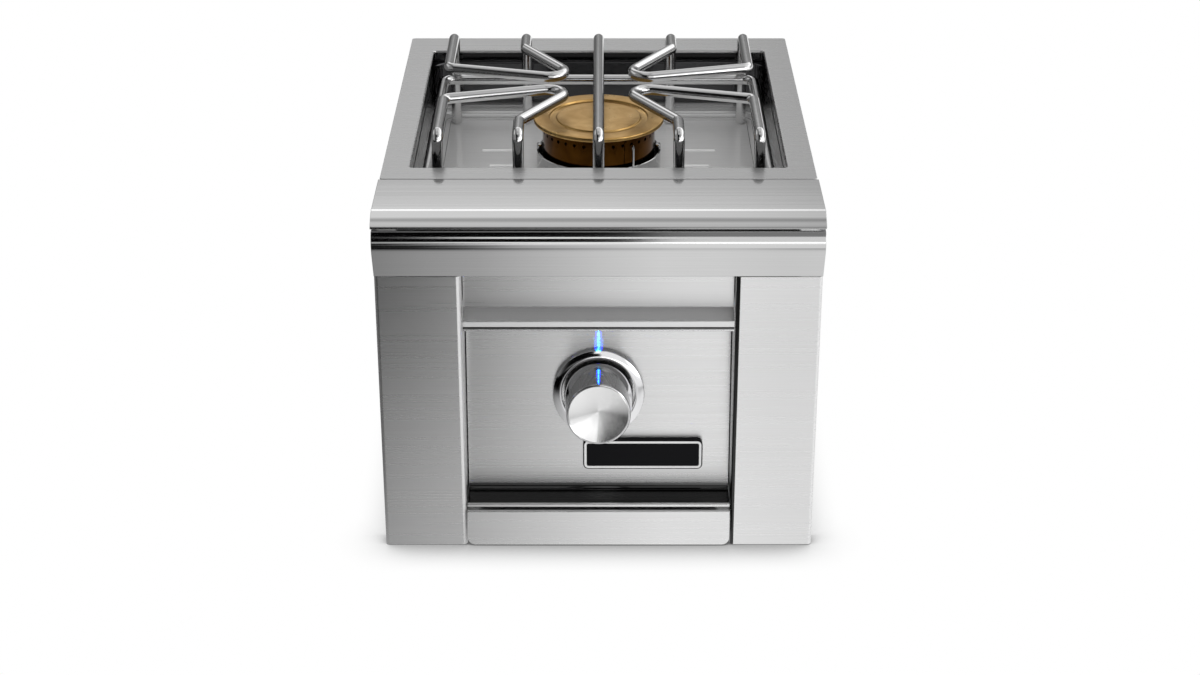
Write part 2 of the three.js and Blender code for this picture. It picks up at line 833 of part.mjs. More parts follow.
function addGasSupply() {
  const start = onKnobAxis(-inletBossSetback, -inletBossReach - fitGap);
  const down = onKnobAxis(-inletBossSetback, -pipeDrop);
  const side = down.clone().setX(-pipeSideShift);
  const hexFront = casingRear - casingSheet - fitGap - fittingHexLength;
  const rear = side.clone().setY(hexFront - fitGap);
  const path = new BentRod([start, down, side, rear], [0, pipeBend, pipeBend, 0]);
  place('supply_pipe', sweep(path, circle(pipeRadius, 10, pipeRadius - pipeWall)), casingSteel);

  const alongY = (geometry) => geometry.rotateX(-Math.PI / 2).translate(side.x, 0, side.z);
  const hex = alongY(hexBar(fittingHexRadius, hexFront, hexFront + fittingHexLength));
  const nippleEnd = casingRear + fittingReach;
  const nipple = alongY(bar(fittingNippleRadius, hexFront + overrun, nippleEnd));
  const bore = alongY(bar(fittingBoreRadius, hexFront - overrun, nippleEnd + overrun));
  place('inlet_fitting', cut(join(hex, nipple), bore), brass);

  const nutFront = casingRear + fitGap;
  const nut = alongY(hexBar(fittingHexRadius, nutFront, nutFront + locknutLength));
  const nutBore = alongY(bar(fittingNippleRadius + fitGap, nutFront - overrun, nutFront + locknutLength + overrun));
  place('inlet_locknut', cut(nut, nutBore), brass);
  return { x: side.x, z: side.z };
}

function addBurner() {
  const cupBottom = panFloor + fitGap;
  const cupFloor = cupBottom + cupWall;
  const throat = venturiRadius + fitGap * 2;
  const atBurner = (geometry) => geometry.translate(0, burnerFromFront, 0);
  const cup = turned([
    [throat, cupBottom],
    [cupRadius, cupBottom],
    [cupRadius, cupBottom + cupHeight],
    [cupRadius - cupWall, cupBottom + cupHeight],
    [cupRadius - cupWall, cupFloor],
    [throat, cupFloor],
    [throat, cupBottom],
  ]);
  const ears = [-1, 1].map((side) => {
    const outer = side * cupRadius;
    const inner = side * (cupRadius - earThickness);
    return block(
      [Math.min(outer, inner), -earWidth / 2, cupBottom],
      [Math.max(outer, inner), earWidth / 2, cupBottom + cupHeight + earRise],
    );
  });
  place('burner_cup', atBurner(join(cup, ...ears)), panSteel);

  const bottom = cupFloor + fitGap;
  const bowl = turned([
    [throat, bottom],
    [burnerRadius, bottom],
    [burnerRadius, burnerTop],
    [burnerRadius - burnerWall, burnerTop],
    [burnerRadius - burnerWall, bottom + burnerFloor],
    [throat, bottom + burnerFloor],
    [throat, bottom],
  ]);
  const ports = [];
  for (let i = 0; i < portCount; i += 1) {
    const port = new THREE.CylinderGeometry(portRadius, portRadius, burnerWall * 3, 6);
    port.rotateZ(Math.PI / 2).translate(burnerRadius - burnerWall / 2, 0, burnerTop - portDrop);
    ports.push(port.rotateZ(((i + 0.5) / portCount) * Math.PI * 2));
  }
  place('burner_body', atBurner(cut(bowl, ...ports)), brass);

  const under = burnerTop + fitGap;
  const top = under + capThickness;
  place('burner_cap', atBurner(turned([
    [0, under],
    [capLocatorRadius - capLocatorWall, under],
    [capLocatorRadius - capLocatorWall, under - capLocatorDepth],
    [capLocatorRadius, under - capLocatorDepth],
    [capLocatorRadius, under],
    [capRadius - capEdge / 2, under],
    [capRadius, under + capEdge],
    [capRadius, top - capEdge],
    [capRadius - capEdge, top],
    [capGrooveRadius, top],
    [capGrooveRadius, top - capGrooveDepth],
    [capDiscRadius, top - capGrooveDepth],
    [capDiscRadius, top],
    [0, top],
  ])), brass);
}

function electrodePlace() {
  const reach = cupRadius + ceramicRadius + fitGap;
  return { x: electrodeSide, y: burnerFromFront - Math.sqrt(reach * reach - electrodeSide * electrodeSide) };
}

function addElectrode() {
  const { x, y } = electrodePlace();
  const bottom = panFloor - panSheet - ceramicBelowFloor;
  const ceramicTop = bottom + ceramicLength;
  const stick = bar(ceramicRadius, bottom, ceramicTop);
  const hollow = bar(electrodeWireRadius + fitGap, ceramicTop - ceramicLength / 2, ceramicTop + overrun, wireSides);
  place('electrode_ceramic', cut(stick, hollow).translate(x, y, 0), ceramic);

  const top = deckHeight - electrodeTopDrop;
  const toBurner = new THREE.Vector3(-x, burnerFromFront - y, 0).setLength(electrodeTipBend);
  const foot = new THREE.Vector3(x, y, ceramicTop - ceramicLength / 2 + fitGap);
  const crown = new THREE.Vector3(x, y, top);
  const path = new BentRod([foot, crown, crown.clone().add(toBurner)], [0, electrodeTipBend / 2, 0]);
  place('electrode_tip', sweep(path, circle(electrodeWireRadius, wireSides)), polishedSteel);

  const bracketTop = panFloor - panSheet - fitGap;
  const plate = block(
    [x - electrodeBracketWidth / 2, y - electrodeBracketWidth / 2, bracketTop - bracketSheet],
    [x + electrodeBracketLength, y + electrodeBracketWidth / 2, bracketTop],
  );
  const hole = bar(ceramicRadius + fitGap, bracketTop - bracketSheet - overrun, bracketTop + overrun);
  place('electrode_bracket', cut(plate, hole.translate(x, y, 0)), casingSteel);
}

function pan(width, depth, cornerRadius, floorRadius, floor, top) {
  const shape = roundedRectangle(width, depth, cornerRadius);
  const geometry = new THREE.ExtrudeGeometry(shape, {
    depth: top - floor - floorRadius,
    bevelThickness: floorRadius,
    bevelSize: floorRadius,
    bevelOffset: -floorRadius,
    bevelSegments: 4,
    curveSegments: 4,
  });
  return geometry.translate(0, openingMiddle, floor + floorRadius);
}

// A pressed bead in the pan floor, a low bar with round ends
function bead(side, reach, offset) {
  const radius = beadWidth / 2;
  const shape = roundedRectangle(beadLength, beadWidth, radius * 0.98);
  const geometry = extrudeUp(shape, panFloor - panSheet / 2, panFloor + beadHeight, 3);
  return geometry.translate(side * (reach - beadLength / 2), burnerFromFront + offset, 0);
}

function addWellPan() {
  const depth = openingDepth - panInset * 2;
  const outer = pan(
    panHalfWidth * 2 + panSheet * 2,
    depth + panSheet * 2,
    panCornerRadius + panSheet,
    panFloorRadius + panSheet,
    panFloor - panSheet,
    panFlangeTop + overrun,
  );
  const inner = pan(panHalfWidth * 2, depth, panCornerRadius, panFloorRadius, panFloor, panFlangeTop + overrun * 2);
  const flange = block(
    [-panFlangeHalf, openingMiddle - depth / 2 - panSheet - panFlange, panFlangeTop - panSheet],
    [panFlangeHalf, openingMiddle + depth / 2 + panSheet + panFlange, panFlangeTop],
  );
  const above = block(
    [-deckWidth, 0, panFlangeTop],
    [deckWidth, deckRear, deckHeight * 2],
  );
  const throat = bar(venturiRadius + fitGap * 2, panFloor - panSheet - overrun, panFloor + overrun, 24);
  throat.translate(0, burnerFromFront, 0);
  const electrode = electrodePlace();
  const sparkHole = bar(electrodeHoleRadius, panFloor - panSheet - overrun, panFloor + overrun, wireSides);
  sparkHole.translate(electrode.x, electrode.y, 0);
  const beads = [];
  for (const side of [-1, 1]) {
    for (const along of [-1, 1]) {
      beads.push(bead(side, outerBeadReach, along * outerBeadOffset));
      beads.push(bead(side, innerBeadReach, along * innerBeadOffset));
    }
  }
  const shell = cut(join(cut(outer, above), flange), inner, throat, sparkHole);
  place('well_pan', join(shell, ...beads), panSteel);
}

function addCasing(pipe) {
  const top = deckUnderside - fitGap;
  const ledgeTop = panFlangeTop - panSheet - fitGap;
  const ledgeInner = panHalfWidth + panSheet + fitGap;
  const shoulder = deckHeight - trimReturn - fitGap;
  const wall = extrudeAcross(shapeOf([
    [casingFront, fitGap],
    [casingRear, fitGap],
    [casingRear, top],
    [deckFront, top],
    [deckFront, shoulder],
    [casingFront, shoulder],
  ]), casingHalf, casingHalf + casingSheet);
  const ledge = block(
    [ledgeInner, openingFront, ledgeTop - panLedgeSheet],
    [casingHalf + casingSheet / 2, openingRear, ledgeTop],
  );
  const side = join(wall, ledge);
  place('casing_right', side, casingSteel);
  place('casing_left', side.clone().scale(-1, 1, 1), casingSteel);

  const inside = casingHalf - fitGap;
  const baseFront = pillarDepth + fitGap;
  const baseRear = casingRear - casingSheet - fitGap;
  const floor = block([-inside, baseFront, 0], [inside, baseRear, casingSheet]);
  const flanges = [-inside, inside - casingSheet].map((x) => (
    block([x, baseFront, 0], [x + casingSheet, baseRear, baseFlange])
  ));
  place('casing_base', join(floor, ...flanges), casingSteel);

  const back = block([-inside, casingRear - casingSheet, fitGap], [inside, casingRear, top]);
  const holes = [];
  for (let row = 0; row < ventRows; row += 1) {
    for (const shift of [-ventSideShift, ventSideShift]) {
      const z = ventHeightFromBase + row * ventPitch;
      const slot = extrudeBack(roundedRectangle(ventWidth, ventHeight, ventHeight * 0.49), 0, casingSheet + overrun * 2);
      holes.push(slot.translate(shift, casingRear - casingSheet - overrun, z));
    }
  }
  const pipeHole = bar(fittingNippleRadius + fitGap, 0, casingSheet + overrun * 2).rotateX(-Math.PI / 2);
  holes.push(pipeHole.translate(pipe.x, casingRear - casingSheet - overrun, pipe.z));
  place('casing_back', cut(back, ...holes), casingSteel);
}

function addHeatShield(pipe) {
  const half = casingHalf - fitGap;
  const plate = block([-half, shieldFromFront, shieldBottom], [half, shieldFromFront + shieldSheet, shieldTop]);
  const back = onKnobAxis(-(shieldFromFront - knobFromFront) / tiltCos);
  const hole = (radius, x, z) => {
    const tool = bar(radius, -overrun, shieldSheet + overrun).rotateX(-Math.PI / 2);
    return tool.translate(x, shieldFromFront, z);
  };
  const tube = hole(venturiRadius + shutterWall + fitGap + overrun, 0, back.z);
  const gas = hole(pipeRadius + fitGap, pipe.x, pipe.z);
  const wire = hole(wireRadius * 2, -wireThroughShare * half, moduleBottom + moduleHeight / 2);
  place('heat_shield', cut(plate, tube, gas, wire), casingSteel);
}

function addDripTray() {
  const frontHalf = pillarInnerHalf - hoodSideGap;
  const back = -trayFrontProud + trayFrontSheet;
  const corner = frontHalf - trayFrontCorner;
  const cornerHeight = trayFrontBottom + trayFrontCorner;
  const shape = new THREE.Shape();
  shape.moveTo(frontHalf, trayFrontTop);
  shape.lineTo(-frontHalf, trayFrontTop);
  shape.absarc(-corner, cornerHeight, trayFrontCorner, Math.PI, Math.PI * 1.5, false);
  shape.absarc(corner, cornerHeight, trayFrontCorner, Math.PI * 1.5, Math.PI * 2, false);
  const front = extrudeBack(shape, -trayFrontProud, back);
  const grip = block([-frontHalf, -trayFrontProud, trayFrontTop - traySheet], [frontHalf, trayGrip, trayFrontTop]);
  const basin = block([-trayHalf, back - traySheet / 2, trayFloorHeight], [trayHalf, trayDepth, trayRimHeight]);
  const hollow = block(
    [-trayHalf + traySheet, back + traySheet / 2, trayFloorHeight + traySheet],
    [trayHalf - traySheet, trayDepth - traySheet, trayRimHeight + overrun],
  );
  const rims = [-1, 1].map((side) => {
    const inner = side * (trayHalf - traySheet / 2);
    const outer = side * (trayHalf + trayRim);
    return block(
      [Math.min(inner, outer), runnerFront, trayRimHeight - traySheet],
      [Math.max(inner, outer), trayDepth, trayRimHeight],
    );
  });
  place('drip_tray', join(cut(basin, hollow), front, grip, ...rims), brushedSteel);
}

function addRunners() {
  const web = trayHalf + trayRim + runningGap;
  const inner = web - runnerLip + runningGap;
  const shelfTop = trayRimHeight - traySheet - fitGap;
  const lipBottom = trayRimHeight + runningGap;
  const rear = runnerFront + runnerLength;
  const upright = block([web, runnerFront, casingSheet + fitGap], [web + runnerSheet, rear, lipBottom + runnerSheet]);
  const shelf = block([inner, runnerFront, shelfTop - runnerSheet], [web + runnerSheet / 2, rear, shelfTop]);
  const lip = block([inner, runnerFront, lipBottom], [web + runnerSheet / 2, rear, lipBottom + runnerSheet]);
  const right = join(upright, shelf, lip);
  place('runner_right', right, casingSteel);
  place('runner_left', right.clone().scale(-1, 1, 1), casingSteel);
}

function smoothWire(points, steps) {
  const curve = new THREE.CatmullRomCurve3(points, false, 'centripetal');
  return new THREE.ExtrudeGeometry(circle(wireRadius, wireSides), { steps, extrudePath: curve });
}

function addIgnition() {
  const outer = casingHalf - fitGap;
  const inner = outer - moduleWidth;
  const rear = moduleFromFront + moduleDepth;
  place('ignition_module', block(
    [-outer, moduleFromFront, moduleBottom],
    [-inner, rear, moduleBottom + moduleHeight],
  ), blackPlastic);
  place('lamp_driver', block(
    [inner, moduleFromFront, moduleBottom],
    [outer, rear, moduleBottom + driverHeight],
  ), blackPlastic);

  const { x, y } = electrodePlace();
  const wireHeight = moduleBottom + moduleHeight / 2;
  const ceramicBottom = panFloor - panSheet - ceramicBelowFloor;
  const middleY = (moduleFromFront + rear) / 2;
  const throughX = -wireThroughShare * outer;
  const straight = moduleWidth / 3;
  place('ignition_wire', smoothWire([
    new THREE.Vector3(-inner + fitGap, middleY, wireHeight),
    new THREE.Vector3(-inner + straight, middleY, wireHeight),
    new THREE.Vector3(throughX, shieldFromFront - straight, wireHeight),
    new THREE.Vector3(throughX, shieldFromFront + straight, wireHeight),
    new THREE.Vector3(throughX / 2, (shieldFromFront + y) / 2, wireHeight),
    new THREE.Vector3(x / 2, y - straight, wireHeight + straight / 2),
    new THREE.Vector3(x, y, ceramicBottom - straight),
    new THREE.Vector3(x, y, ceramicBottom - fitGap),
  ], 26), wireJacket);
}

function addLamp() {
  const top = panelTopHeight - fitGap;
  const neckTop = panelTopHeight + lampNeckLength;
  const barrel = bar(lampRadius, top - lampLength, top);
  const neck = bar(lampNeckRadius, top - lampLength / 2, neckTop);
  place('lamp_holder', join(barrel, neck).translate(0, lampFromFront, 0), blackPlastic);

  const lensTop = top - lampLength - fitGap;
  const dome = turned([
    [0, lensTop - lensLength],
    [lensRadius * 0.7, lensTop - lensLength * 0.8],
    [lensRadius, lensTop - lensLength * 0.4],
    [lensRadius, lensTop],
    [0, lensTop],
  ], smallSides);
  place('lamp_lens', dome.translate(0, lampFromFront, 0), lensPlastic);

  const outer = casingHalf - fitGap;
  const driverTop = moduleBottom + driverHeight;
  const driverX = outer - moduleWidth / 2;
  const driverY = moduleFromFront + moduleDepth / 2;
  place('lamp_wire', smoothWire([
    new THREE.Vector3(0, lampFromFront, neckTop + fitGap),
    new THREE.Vector3(0, lampFromFront, neckTop + lampNeckLength),
    new THREE.Vector3(driverX / 3, driverY * 0.8, neckTop + lampNeckLength),
    new THREE.Vector3(driverX, driverY, driverTop + moduleHeight / 2),
    new THREE.Vector3(driverX, driverY, driverTop + fitGap),
  ], 18), wireJacket);
}

function addGrate() {
  const top = deckHeight + grateRise - rodRadius;
  const foot = panFloor + fitGap;
  const legOffset = (grateSpan - rodDiameter) / 2;
  const weldPitch = rodDiameter + fitGap;
  const outer = gratePitch * 2;
  const point = (x, y, z) => new THREE.Vector3(x, burnerFromFront + y, z);
  const section = circle(rodRadius, rodSides);

  const centreRod = new BentRod([
    point(0, -legOffset, foot),
    point(0, -legOffset, top),
    point(0, legOffset, top),
    point(0, legOffset, foot),
  ], [0, legBend, legBend, 0]);
  place('grate_centre_rod', sweep(centreRod, section), polishedSteel);

  for (const [end, along] of [['front', -1], ['rear', 1]]) {
    for (const [hand, side] of [['left', -1], ['right', 1]]) {
      const loop = new BentRod([
        point(side * outer, along * legOffset, foot),
        point(side * outer, along * legOffset, top),
        point(side * outer, along * loopCornerOffset, top),
        point(side * tipVertexSide, along * tipVertexOffset, top),
        point(side * gratePitch, along * kneeOffset, top),
        point(side * gratePitch, along * legOffset, top),
        point(side * gratePitch, along * legOffset, foot),
      ], [0, legBend, cornerBend, tipBend, cornerBend, legBend, 0]);
      place(`grate_loop_${end}_${hand}`, sweep(loop, section), polishedSteel);
    }
  }

  const ringHalf = outer + weldPitch;
  const ringHeight = deckHeight - ringDrop;
  const ringCorners = [
    point(-ringHalf, -legOffset - weldPitch, ringHeight),
    point(ringHalf, -legOffset - weldPitch, ringHeight),
    point(ringHalf, legOffset - weldPitch, ringHeight),
    point(-ringHalf, legOffset - weldPitch, ringHeight),
  ];
  const ring = new BentRod(ringCorners, ringCorners.map(() => weldPitch), true);
  place('grate_ring', new THREE.TubeGeometry(ring, ring.steps, rodRadius, rodSides, true), polishedSteel);
}

addDeck();
addFrontTrim();
addFrontRail();
addPillars();
addHood();
addControlPanel();
addNamePlate();
addBezel();
addKnob();
addValve();
addOrificeAndShutter();
addVenturi();
const pipe = addGasSupply();
addBurner();
addElectrode();
addWellPan();
addCasing(pipe);
addHeatShield(pipe);
addDripTray();
addRunners();
addIgnition();
addLamp();
addGrate();

// The origin goes to the middle of the footprint, at the height of the feet.
const bounds = new THREE.Box3().setFromObject(assembly, true);
assembly.position.y = -(bounds.min.y + bounds.max.y) / 2;

export default assembly;
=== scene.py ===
"""Looks of a built in side burner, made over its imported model.

Piece sizes are in millimetres. They are measured from the faces of the front pillars (Y = 0) and
from the feet (Z = 0), with X across from the middle. `Workshop` turns them into the row frame's
metres.
"""

import json
import logging
import math
from dataclasses import dataclass
from enum import Enum

import bmesh
import bpy
from mathutils import Matrix, Vector

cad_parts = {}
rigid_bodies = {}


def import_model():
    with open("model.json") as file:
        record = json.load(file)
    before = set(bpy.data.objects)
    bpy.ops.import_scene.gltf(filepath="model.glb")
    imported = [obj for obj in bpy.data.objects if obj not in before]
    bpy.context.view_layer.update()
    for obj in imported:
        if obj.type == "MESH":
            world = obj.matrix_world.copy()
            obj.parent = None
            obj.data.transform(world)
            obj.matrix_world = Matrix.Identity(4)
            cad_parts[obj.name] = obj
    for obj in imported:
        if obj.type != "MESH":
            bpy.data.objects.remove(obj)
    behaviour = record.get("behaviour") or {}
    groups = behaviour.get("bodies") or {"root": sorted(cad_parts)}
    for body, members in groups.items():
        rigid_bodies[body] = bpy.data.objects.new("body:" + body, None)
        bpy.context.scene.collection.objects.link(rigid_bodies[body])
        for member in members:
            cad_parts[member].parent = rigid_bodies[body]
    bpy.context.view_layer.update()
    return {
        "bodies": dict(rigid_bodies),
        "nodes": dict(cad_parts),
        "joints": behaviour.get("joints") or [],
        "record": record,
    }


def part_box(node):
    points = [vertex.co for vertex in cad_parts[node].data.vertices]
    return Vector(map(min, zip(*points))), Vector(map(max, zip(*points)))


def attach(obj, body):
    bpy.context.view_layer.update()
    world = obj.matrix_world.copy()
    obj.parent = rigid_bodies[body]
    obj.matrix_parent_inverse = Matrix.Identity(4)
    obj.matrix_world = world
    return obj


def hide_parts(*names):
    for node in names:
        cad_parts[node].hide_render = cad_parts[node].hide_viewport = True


LOG = logging.getLogger("side_burner")

Pair = tuple[float, float]
Triple = tuple[float, float, float]
Face = tuple[int, ...]
Shape = tuple[list[Vector], list[Face]]
Draw = tuple[list[Pair], float, float]
Station = tuple[Vector, Vector]
Socket = bpy.types.NodeSocket

SIDES = {"left": -1.0, "right": 1.0}

NOISE_MIDDLE: Pair = (0.3, 0.7)
PAINTED_SHADE_SHARE = 0.05
NEARLY_NOTHING = 1e-6
WELD_REACH = 1e-7
SKIN_LIFT = 0.04
SKIN_DEPTH = 0.3
SKIN_INSET = 0.2
BROKEN_ABOVE = 40.0
GRAIN_PER_HEIGHT = 0.3
GRAIN_PER_TURN = 30.0


class Grain(Enum):
    """Brushing of a surface, as counts of noise cells per metre along X, Y and Z."""

    ACROSS = (7.0, 1900.0, 1900.0)
    FINE = (900.0, 900.0, 900.0)


class Body(Enum):
    """Bodies of the frame."""

    HOUSING = "housing"
    KNOB = "knob_and_stem"
    CAP = "burner_cap"
    GRATE = "grate"
    TRAY = "drip_tray"


class Graph:
    """A node tree under construction."""

    def __init__(self, tree: bpy.types.NodeTree) -> None:
        """Starts with an empty tree.

        Args:
            tree: The tree, which loses the nodes that it has.
        """
        self.tree = tree
        tree.nodes.clear()

    def node(self, kind: str) -> bpy.types.Node:
        """Adds a node of the named kind and returns it."""
        return self.tree.nodes.new(kind)

    def link(self, source: Socket, target: Socket) -> None:
        """Joins two sockets."""
        self.tree.links.new(source, target)

    def feed(self, value: Socket | float, target: Socket) -> None:
        """Sets a socket from another socket or from a number.

        Args:
            value: A socket or a number.
            target: The socket that takes it.
        """
        if isinstance(value, float):
            target.default_value = value
        else:
            self.link(value, target)

    def mapped(self, value: Socket, source: Pair, result: Pair = (0.0, 1.0)) -> Socket:
        """Maps one range onto another and holds the ends.

        Args:
            value: The input.
            source: Input at the ends of the range.
            result: Output there.

        Returns:
            The mapped socket.
        """
        span = self.node("ShaderNodeMapRange")
        for name, bound in zip(("From Min", "From Max", "To Min", "To Max"), (*source, *result)):
            span.inputs[name].default_value = bound
        self.link(value, span.inputs["Value"])
        return span.outputs["Result"]

    def axes(self, kind: str) -> list[Socket]:
        """X, Y and Z of a coordinate.

        Args:
            kind: The coordinate, as Blender names it.

        Returns:
            The three sockets.
        """
        place = self.node("ShaderNodeTexCoord")
        split = self.node("ShaderNodeSeparateXYZ")
        self.link(place.outputs[kind], split.inputs["Vector"])
        return [split.outputs[axis] for axis in "XYZ"]


class NodeSheet(Graph):
    """A node material under construction, ending in one surface shader."""

    def __init__(self, name: str) -> None:
        """Starts an empty material.

        Args:
            name: The material's name.
        """
        self.material = bpy.data.materials.new(name)
        self.material.use_nodes = True
        super().__init__(self.material.node_tree)
        output = self.node("ShaderNodeOutputMaterial")
        self.shader = self.node("ShaderNodeBsdfPrincipled")
        self.link(self.shader.outputs["BSDF"], output.inputs["Surface"])

    def fixed(self, **values: float | tuple[float, ...]) -> None:
        """Sets values that are the same all over the surface, on the shader's own sockets."""
        for name, value in values.items():
            label = name.replace("_", " ").title().replace("Ior", "IOR")
            self.shader.inputs[label].default_value = value

    def place(self, scale: Triple) -> Socket:
        """Object coordinates, stretched along each axis.

        Args:
            scale: Counts per metre along X, Y and Z.

        Returns:
            The vector socket.
        """
        coordinates = self.node("ShaderNodeTexCoord")
        mapping = self.node("ShaderNodeMapping")
        mapping.inputs["Scale"].default_value = scale
        self.link(coordinates.outputs["Object"], mapping.inputs["Vector"])
        return mapping.outputs["Vector"]

    def noise(self, scale: Triple, detail: float = 2.0, distortion: float = 0.0) -> Socket:
        """Noise from 0 to 1.

        Args:
            scale: Counts per metre along each axis.
            detail: Octaves.
            distortion: Swirl of the cells.

        Returns:
            The noise's value socket.
        """
        noise = self.node("ShaderNodeTexNoise")
        noise.inputs["Scale"].default_value = 1.0
        noise.inputs["Detail"].default_value = detail
        noise.inputs["Distortion"].default_value = distortion
        self.link(self.place(scale), noise.inputs["Vector"])
        return noise.outputs["Fac"]

    def spread(self, value: Socket, low: float, high: float) -> Socket:
        """Maps the middle of a noise onto a range.

        Args:
            value: A noise socket.
            low: Result at a noise of 0.3.
            high: Result at a noise of 0.7.

        Returns:
            The mapped socket.
        """
        return self.mapped(value, NOISE_MIDDLE, (low, high))

    def tones(self, value: Socket, dark: Triple, light: Triple) -> Socket:
        """A colour between two tones, by a noise.

        Args:
            value: A noise socket.
            dark: Colour where the noise is low.
            light: Colour where it is high.

        Returns:
            The colour socket.
        """
        ramp = self.node("ShaderNodeValToRGB")
        for element, place, tone in zip(ramp.color_ramp.elements, NOISE_MIDDLE, (dark, light)):
            element.position = place
            element.color = (*tone, 1.0)
        self.link(value, ramp.inputs["Fac"])
        return ramp.outputs["Color"]

    def painted_shade_by_height(self, tone: Socket, heights: Pair) -> Socket:
        """Paints shade into a colour, darker with height.

        Args:
            tone: A colour socket.
            heights: Where the colour starts to fade and where it is nearly black, in metres.

        Returns:
            The colour socket with the painted shade.
        """
        scale = self.node("ShaderNodeVectorMath")
        scale.operation = "SCALE"
        self.link(tone, scale.inputs[0])
        share = self.mapped(self.axes("Object")[2], heights, (1.0, PAINTED_SHADE_SHARE))
        self.link(share, scale.inputs["Scale"])
        return scale.outputs["Vector"]

    def coat(self, colour: Socket, roughness: Socket) -> None:
        """Gives the shader its colour and its roughness."""
        self.link(colour, self.shader.inputs["Base Color"])
        self.link(roughness, self.shader.inputs["Roughness"])

    def relief(self, value: Socket, depth: float, strength: float) -> None:
        """Raises the surface by a noise.

        Args:
            value: A noise socket.
            depth: Height of the relief in metres.
            strength: Share of the relief that is used.
        """
        bump = self.node("ShaderNodeBump")
        bump.inputs["Distance"].default_value = depth
        bump.inputs["Strength"].default_value = strength
        self.link(value, bump.inputs["Height"])
        self.link(bump.outputs["Normal"], self.shader.inputs["Normal"])

    def stretch_along_profile(self, amount: float) -> None:
        """Stretches highlights across the grain, which runs along V.

        Args:
            amount: Stretch from 0 to 1.
        """
        tangent = self.node("ShaderNodeTangent")
        tangent.direction_type = "UV_MAP"
        tangent.uv_map = "grain"
        self.link(tangent.outputs["Tangent"], self.shader.inputs["Tangent"])
        self.shader.inputs["Anisotropic"].default_value = amount


def shaded(tone: Triple, share: float) -> Triple:
    """A tone times a share."""
    return (tone[0] * share, tone[1] * share, tone[2] * share)


@dataclass(frozen=True)
class Finish:
    """What a piece is dressed in.

    Attributes:
        name: Material name.
        slot: The record's material slot; not used.
        tone: Colour.
        roughness: Middle roughness.
    """

    name: str
    slot: str
    tone: Triple
    roughness: float

    def material(self) -> bpy.types.Material:
        """Builds the node material.

        Returns:
            The material.
        """
        sheet = NodeSheet(self.name)
        self.paint(sheet)
        return sheet.material

    def paint(self, sheet: NodeSheet) -> None:
        """Lays the look on a sheet, as each finish does in its own way."""
        raise NotImplementedError


@dataclass(frozen=True)
class BrushedSteel(Finish):
    """Stainless sheet with a directional grain.

    Attributes:
        variation: Share by which single lines are lighter or darker.
        stretch: Stretch of highlights across the grain, 0 to 1.
        metal: Share of the look that mirrors; the rest scatters, and below 1 it lightens the face
            as painted light.
        grain: Direction of the lines.
    """

    name: str = "brushed_stainless"
    slot: str = "brushed_steel"
    tone: Triple = (0.80, 0.80, 0.80)
    roughness: float = 0.24
    variation: float = 0.05
    stretch: float = 0.75
    metal: float = 1.0
    grain: Grain = Grain.ACROSS

    def paint(self, sheet: NodeSheet) -> None:
        """Lays the look on a sheet.

        Args:
            sheet: The sheet.
        """
        fine = sheet.noise(self.grain.value, detail=3.0)
        coarse = sheet.noise(tuple(v * 0.22 for v in self.grain.value), detail=2.0)
        dark = shaded(self.tone, 1.0 - self.variation)
        light = shaded(self.tone, 1.0 + self.variation)
        rough = sheet.spread(coarse, self.roughness - 0.015, self.roughness + 0.015)
        sheet.coat(sheet.tones(fine, dark, light), rough)
        sheet.relief(fine, 0.000012, 0.03)
        sheet.stretch_along_profile(self.stretch)
        sheet.fixed(metallic=self.metal)


@dataclass(frozen=True)
class PolishedSteel(Finish):
    """Mirror-bright stainless with faint wiping marks."""

    name: str = "polished_stainless"
    slot: str = "polished_steel"
    tone: Triple = (0.86, 0.86, 0.87)
    roughness: float = 0.07
    marks: float = 0.03

    def paint(self, sheet: NodeSheet) -> None:
        """Lays the look on a sheet.

        Args:
            sheet: The sheet.
        """
        wiping = sheet.noise((90.0, 300.0, 140.0), detail=3.0, distortion=0.6)
        rough = sheet.spread(wiping, self.roughness, self.roughness + self.marks)
        sheet.coat(sheet.tones(wiping, shaded(self.tone, 0.98), self.tone), rough)
        sheet.relief(sheet.noise(Grain.FINE.value), 0.000004, 0.2)
        sheet.fixed(metallic=1.0)


@dataclass(frozen=True)
class TurnedSteel(Finish):
    """Bright steel with the fine rings that a lathe leaves."""

    name: str = "turned_stainless"
    slot: str = "polished_steel"
    tone: Triple = (0.95, 0.95, 0.95)
    roughness: float = 0.2
    stretch: float = 1.0

    def paint(self, sheet: NodeSheet) -> None:
        """Lays the look on a sheet.

        Args:
            sheet: The sheet.
        """
        rings = sheet.noise((500.0, 500.0, 500.0), detail=2.0)
        rough = sheet.spread(rings, self.roughness - 0.02, self.roughness + 0.02)
        sheet.coat(sheet.tones(rings, shaded(self.tone, 0.97), self.tone), rough)
        sheet.stretch_along_profile(self.stretch)
        sheet.fixed(metallic=1.0)


@dataclass(frozen=True)
class Brass(Finish):
    """Satin brass, with a cloudier and browner patina in random patches."""

    name: str = "satin_brass"
    slot: str = "brass_satin"
    tone: Triple = (0.80, 0.52, 0.20)
    patina: Triple = (0.62, 0.37, 0.12)
    roughness: float = 0.3
    clouds: float = 55.0

    def paint(self, sheet: NodeSheet) -> None:
        """Lays the look on a sheet.

        Args:
            sheet: The sheet.
        """
        clouds = sheet.noise((self.clouds, self.clouds, self.clouds * 0.6), detail=5.0,
                             distortion=0.8)
        rough = sheet.spread(clouds, self.roughness + 0.06, self.roughness - 0.04)
        sheet.coat(sheet.tones(clouds, self.patina, self.tone), rough)
        sheet.relief(sheet.noise((1500.0, 1500.0, 1500.0), detail=3.0), 0.00002, 0.25)
        sheet.fixed(metallic=1.0)


